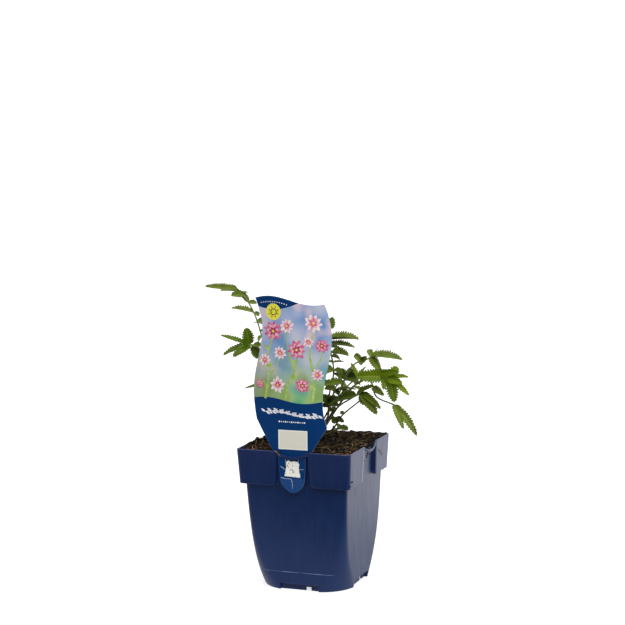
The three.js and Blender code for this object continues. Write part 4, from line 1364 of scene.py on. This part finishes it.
def makePetal(name, width, notchDepth):
    # one unit long and widest before its middle, with a notch of this depth in its tip
    columns, rows = 6, 8

    def place(column, row):
        t = row / rows
        across = 2 * column / columns - 1
        half = width / 2 * math.sin(math.pi * min(t, 0.999) ** 0.75) ** 0.7
        return half * across, 0, t * (1 - notchDepth * (1 - abs(across)) * t)

    return addSheet(name, columns, rows, place)


def makeDisc(name, radius):
    upright = (math.pi / 2, 0, 0)
    bpy.ops.mesh.primitive_circle_add(vertices=40, radius=radius * mm, fill_type="NGON", rotation=upright)
    bpy.ops.object.transform_apply(rotation=True)
    disc = nameActive(name)
    editAll(disc, lambda: bpy.ops.mesh.poke())
    return disc


def printStrip(group, points, widthFrom, widthTo, lift):
    line = Line([Vector((x, 0, z)) for x, z in points])
    steps = max(round(line.length / 1.5), 4)

    def place(column, row):
        part = row / steps
        centre, along = line.at(part), line.along(part)
        half = mix(widthFrom, widthTo, part) / 2
        px = centre.x + along.z * half * (column - 1)
        pz = centre.z - along.x * half * (column - 1)
        return inkPlace(px, pz, lift)

    printed.setdefault(group, []).append(addSheet("strip", 2, steps, place))


def aroundSun(radius, angle):
    x, z = sunSign["middle"]
    return x + radius * math.cos(angle), z + radius * math.sin(angle)


def makePrint():
    draw = random.Random(ink["seed"])
    petal = makePetal("petal", 0.5, 0.1)
    leafShape = makePetal("leafShape", 0.42, 0)
    disc = makeDisc("disc", 1)
    for points, first, last in stems:
        printStrip("stems", points, first, last, inkLifts["stems"])
    for x, z, size, turn in stemLeaves:
        printShape("stems", leafShape, x, z, size, turn, inkLifts["stemLeaves"])
    for order, (x, z, size, turn, tone) in enumerate(blossoms):
        for (count, part), ring in zip(rings, ringInks[tone]):
            for i in range(count):
                lift = 0.02 + 0.02 * order + 0.002 * i / count + 0.005 * (1.1 - part) * 2
                spread = size * part * draw.uniform(0.9, 1.08)
                printShape(ring, petal, x, z, spread, turn + 360 / count * (i + 0.5 * part), lift)
        printShape("discs", disc, x, z, size * 0.13, 0, 0.036 + 0.02 * order)
    # the sun sign: a disc, a ring and rays
    printShape("discs", disc, *sunSign["disc"], sunSign["size"], 0, inkLifts["ornaments"])
    for i in range(sunSign["arcs"]):
        angle, following = (math.radians(360 / sunSign["arcs"] * k) for k in (i, i + 1))
        arc = [aroundSun(sunSign["ring"], a) for a in (angle, (angle + following) / 2, following)]
        printStrip("signLines", arc, sunSign["lineWidth"], sunSign["lineWidth"], inkLifts["sign"])
    for i in range(sunSign["rayCount"]):
        angle = math.radians(360 / sunSign["rayCount"] * (i + 0.5))
        ray = [aroundSun(radius, angle) for radius in sunSign["rays"]]
        printStrip("signLines", ray, sunSign["rayWidth"], sunSign["rayWidth"], inkLifts["sign"])
    # white ornaments: a leafy garland, a row of dots below it and one in the upper band
    lift = inkLifts["ornaments"]
    printStrip("whiteInk", garland["line"], garland["width"], garland["width"], lift)
    line = Line([Vector((x, 0, z)) for x, z in garland["line"]])
    for i in range(garland["leaves"]):
        centre = line.at((i + 0.5) / garland["leaves"])
        size = garland["size"] - garland["smaller"] * (i % 2)
        turn = -garland["turn"] if i % 2 else garland["turn"]
        printShape("whiteInk", leafShape, centre.x, centre.z, size, turn, lift)
        x = centre.x + garland["between"]
        printShape("whiteInk", leafShape, x, centre.z, size, garland["turnBetween"], lift)
    for i in range(dots["count"]):
        x = dots["from"] + dots["step"] * i
        size = dots["size"] if i % 3 else dots["larger"]
        printShape("whiteInk", disc, x, dots["height"] - dots["fall"] * i, size, 0, lift)
    for i in range(bandDots["count"]):
        x = bandDots["from"] + bandDots["step"] * i
        z = bandDots["height"] - bandDots["curve"] * (x - bandDots["middle"]) ** 2
        printShape("whiteInk", disc, x, z, bandDots["size"], 0, lift)
    # on the tongue: a painted highlight along its crease, and worn places beside the slit and where the scrap
    # was rubbed
    for points, width in wornMarks:
        printStrip("wornMarks", points, width, width * 0.6, inkLifts["wornMarks"])
    remove(petal, leafShape, disc)


def inkMaterial(name, first, second):
    startMaterial(name)
    tone = noiseOf(objectPlace(), 260, 2)
    colour = ramp(tone, (0.35, first), (0.65, second))
    return endMaterial({"Base Color": colour, "Roughness": 0.36, "Specular IOR Level": 0.4})


makePrint()
inkColours = {
    "stems": ("#8fb24c", "#b9cf7c"), "rosePetals": ("#c23f74", "#e27fa0"),
    "palePetals": ("#ecd2d5", "#f4eee9"), "blushPetals": ("#dd8ca6", "#efc3c8"),
    "deepPetals": ("#9c2a58", "#c4497b"), "discs": ("#e6dc35", "#efe75a"),
    "signLines": ("#4d4f19", "#5d5f22"), "whiteInk": ("#dfe3ea", "#f2f3f5"),
    "wornMarks": ("#8e9fbd", "#c3cedd"),
}
for inkName, parts in printed.items():
    shapes = joinAll("print" + inkName[0].upper() + inkName[1:], parts)
    applyModifier(shapes, "SOLIDIFY", thickness=ink["thick"] * mm, offset=0)
    dress(shapes, inkMaterial(inkName, *inkColours[inkName]), "label")
print("label made")


# paper scrap

scrap = {
    "thick": 0.3, "front": 53.85, "cells": 44, "centre": (-1, 114.4),
    "specks": [(-3.6, 119.5), (0.1, 117.4), (-3.8, 115.9), (-2.1, 113.9), (0.4, 111.3), (-4.6, 117.8)],
    "outline": [(-7.9, 107.7), (-2.9, 107.6), (1.5, 107.2), (7.3, 107.1), (6.7, 112), (6.1, 115.7),
                (6.4, 119.3), (4.9, 121.2), (1.8, 121.6), (-1.5, 121), (-3.5, 122.2), (-5.7, 121.2),
                (-6.2, 118.6), (-6, 116), (-6.8, 112.8)],
}


def outlineReach(angle):
    # how far the torn outline is from the scrap's centre in a direction
    cx, cz = scrap["centre"]
    way = Vector((math.cos(angle), math.sin(angle)))
    corners = [Vector((x - cx, z - cz)) for x, z in scrap["outline"]]
    best = 0.0
    for a, b in zip(corners, corners[1:] + corners[:1]):
        edge = b - a
        across = way.x * edge.y - way.y * edge.x
        if abs(across) < 1e-9:
            continue
        distance = (a.x * edge.y - a.y * edge.x) / across
        part = (a.x * way.y - a.y * way.x) / across
        if distance > 0 and -1e-6 <= part <= 1 + 1e-6:
            best = max(best, distance)
    return best


def makeScrap():
    cx, cz = scrap["centre"]
    count = scrap["cells"]

    def place(column, row):
        u, v = 2 * column / count - 1, 2 * row / count - 1
        reach = max(abs(u), abs(v))
        if reach == 0:
            return cx, -scrap["front"], cz
        angle = math.atan2(v, u)
        ragged = 0.25 * noise.noise(Vector((math.cos(angle) * 9, math.sin(angle) * 9, 2)))
        radius = (outlineReach(angle) + ragged) * reach
        swell = noise.noise(Vector((math.cos(angle) * 1.6, math.sin(angle) * 1.6, 5)))
        curl = 0.3 * reach ** 3 * max(swell, 0)
        return cx + radius * math.cos(angle), -scrap["front"] - curl, cz + radius * math.sin(angle)

    sheet = addSheet("tornPaper", count, count, place)
    applyModifier(sheet, "SOLIDIFY", thickness=scrap["thick"] * mm, offset=0)
    smoothBelow(sheet, 40)
    return sheet


def paperMaterial():
    startMaterial("tornPaper")
    place = objectPlace()
    pulp = noiseOf(place, 1400, 4, 0.7)
    spots = noiseOf(place, 420, 2)
    tint = ramp(pulp, (0.3, "#e6e4da"), (0.7, "#faf8f1"))
    specks = times(remap(spots, 0.62, 0.66), 0.85)
    x, _, z = axes(place)
    for atX, atZ in scrap["specks"]:
        fromX, fromZ = minus(x, atX * mm), minus(z, atZ * mm)
        away = calc("SQRT", calc("ADD", times(fromX, fromX), times(fromZ, fromZ)))
        specks = calc("MAXIMUM", specks, remap(away, 0.0003, 0.0006, 0.9, 0))
    return endMaterial({"Base Color": blend(specks, tint, "#3b3a34"), "Roughness": 0.85,
                        "Normal": bumpOf(pulp, 0.5, 0.0002)})


dress(makeScrap(), paperMaterial(), "paper", "paper_scrap")
print("paper scrap made")


# stage, lights and camera

studio = {
    "turn": 18, "front": 0.155, "back": 3.2, "width": 5, "backdropHeight": 3.0, "backdropBend": 0.6,
    "world": 0.2, "floorTone": 0.5, "floorGlow": 0.7, "backdropGlow": 0.9, "sideGlow": 1.78,
}
lights = [  # name, azimuth, elevation, distance, size, power, in metres and watts
    ("keyLight", 62, 42, 1.5, 1.0, 13),
    ("frontLight", 8, 40, 1.6, 1.2, 11),
    ("topLight", 0, 88, 1.5, 1.1, 7),
]
aim = Vector((0, 0, 0.13))


def directionOf(azimuth, elevation):
    a, e = math.radians(azimuth), math.radians(elevation)
    return Vector((math.sin(a) * math.cos(e), -math.cos(a) * math.cos(e), math.sin(e)))


def makeStage():
    back, height, bend = studio["back"], studio["backdropHeight"], studio["backdropBend"]
    line = [(-studio["front"], 0), (back - bend, 0)]
    line += [(back - bend + bend * math.sin(a), bend - bend * math.cos(a))
             for a in (math.radians(10 * i) for i in range(1, 10))]
    line.append((back, height))

    def place(column, row):
        y, z = line[row]
        return studio["width"] * (2 * column - 1) / mm, y / mm, z / mm

    backdrop = addSheet("studioSweep", 1, len(line) - 1, place)
    startMaterial("studioPaper")
    # brighter beside the line of sight, where the pot's side mirrors it, than behind the plant
    across, depth, _ = axes(objectPlace())
    behind = remap(depth, 0.1, 0.5, studio["floorGlow"], studio["backdropGlow"])
    beside = remap(depth, 0.0, 0.3, studio["floorGlow"], studio["sideGlow"])
    side = remap(across, 0.1, 0.2)
    glow = calc("MULTIPLY_ADD", side, minus(beside, behind), behind)
    backdrop.data.materials.append(endMaterial({
        "Base Color": (*(studio["floorTone"],) * 3, 1), "Roughness": 0.9, "Specular IOR Level": 0.1,
        "Emission Color": (1, 1, 1, 1), "Emission Strength": glow,
    }))
    smoothBelow(backdrop, 60)
    backdrop.rotation_euler.z = math.radians(studio["turn"])


def makeLights():
    world = bpy.data.worlds.new("studioWorld")
    world.use_nodes = True
    feed(world.node_tree.nodes["Background"], {"Color": (1, 1, 1, 1), "Strength": studio["world"]})
    bpy.context.scene.world = world
    for name, azimuth, elevation, distance, size, power in lights:
        way = directionOf(azimuth, elevation)
        bpy.ops.object.light_add(type="AREA", location=aim + way * distance)
        lamp = bpy.context.object
        lamp.name = name
        lamp.data.shape = "DISK"
        lamp.data.size = size
        lamp.data.energy = power
        lamp.rotation_euler = way.to_track_quat("Z", "Y").to_euler()


view = {"azimuth": 21.6, "elevation": 6.71, "roll": -1.08, "distance": 1.5, "target": (0.67, 0, 248.98),
        "focal": 1642.8, "photoWidth": 625, "sensor": 36}


def makeCamera():
    back = directionOf(view["azimuth"], view["elevation"])
    bpy.ops.object.camera_add(location=Vector(view["target"]) * mm + back * view["distance"])
    camera = bpy.context.object
    camera.name = "photoCamera"
    camera.data.sensor_width = view["sensor"]
    camera.data.lens = view["focal"] * view["sensor"] / view["photoWidth"]
    camera.data.clip_start = 0.05
    turned = back.to_track_quat("Z", "Y").to_matrix() @ Matrix.Rotation(math.radians(view["roll"]), 3, "Z")
    camera.rotation_euler = turned.to_euler()
    bpy.context.scene.camera = camera


makeStage()
makeLights()
makeCamera()
bpy.context.scene.view_settings.view_transform = "Standard"
print("stage, lights and camera made")

bpy.context.view_layer.update()
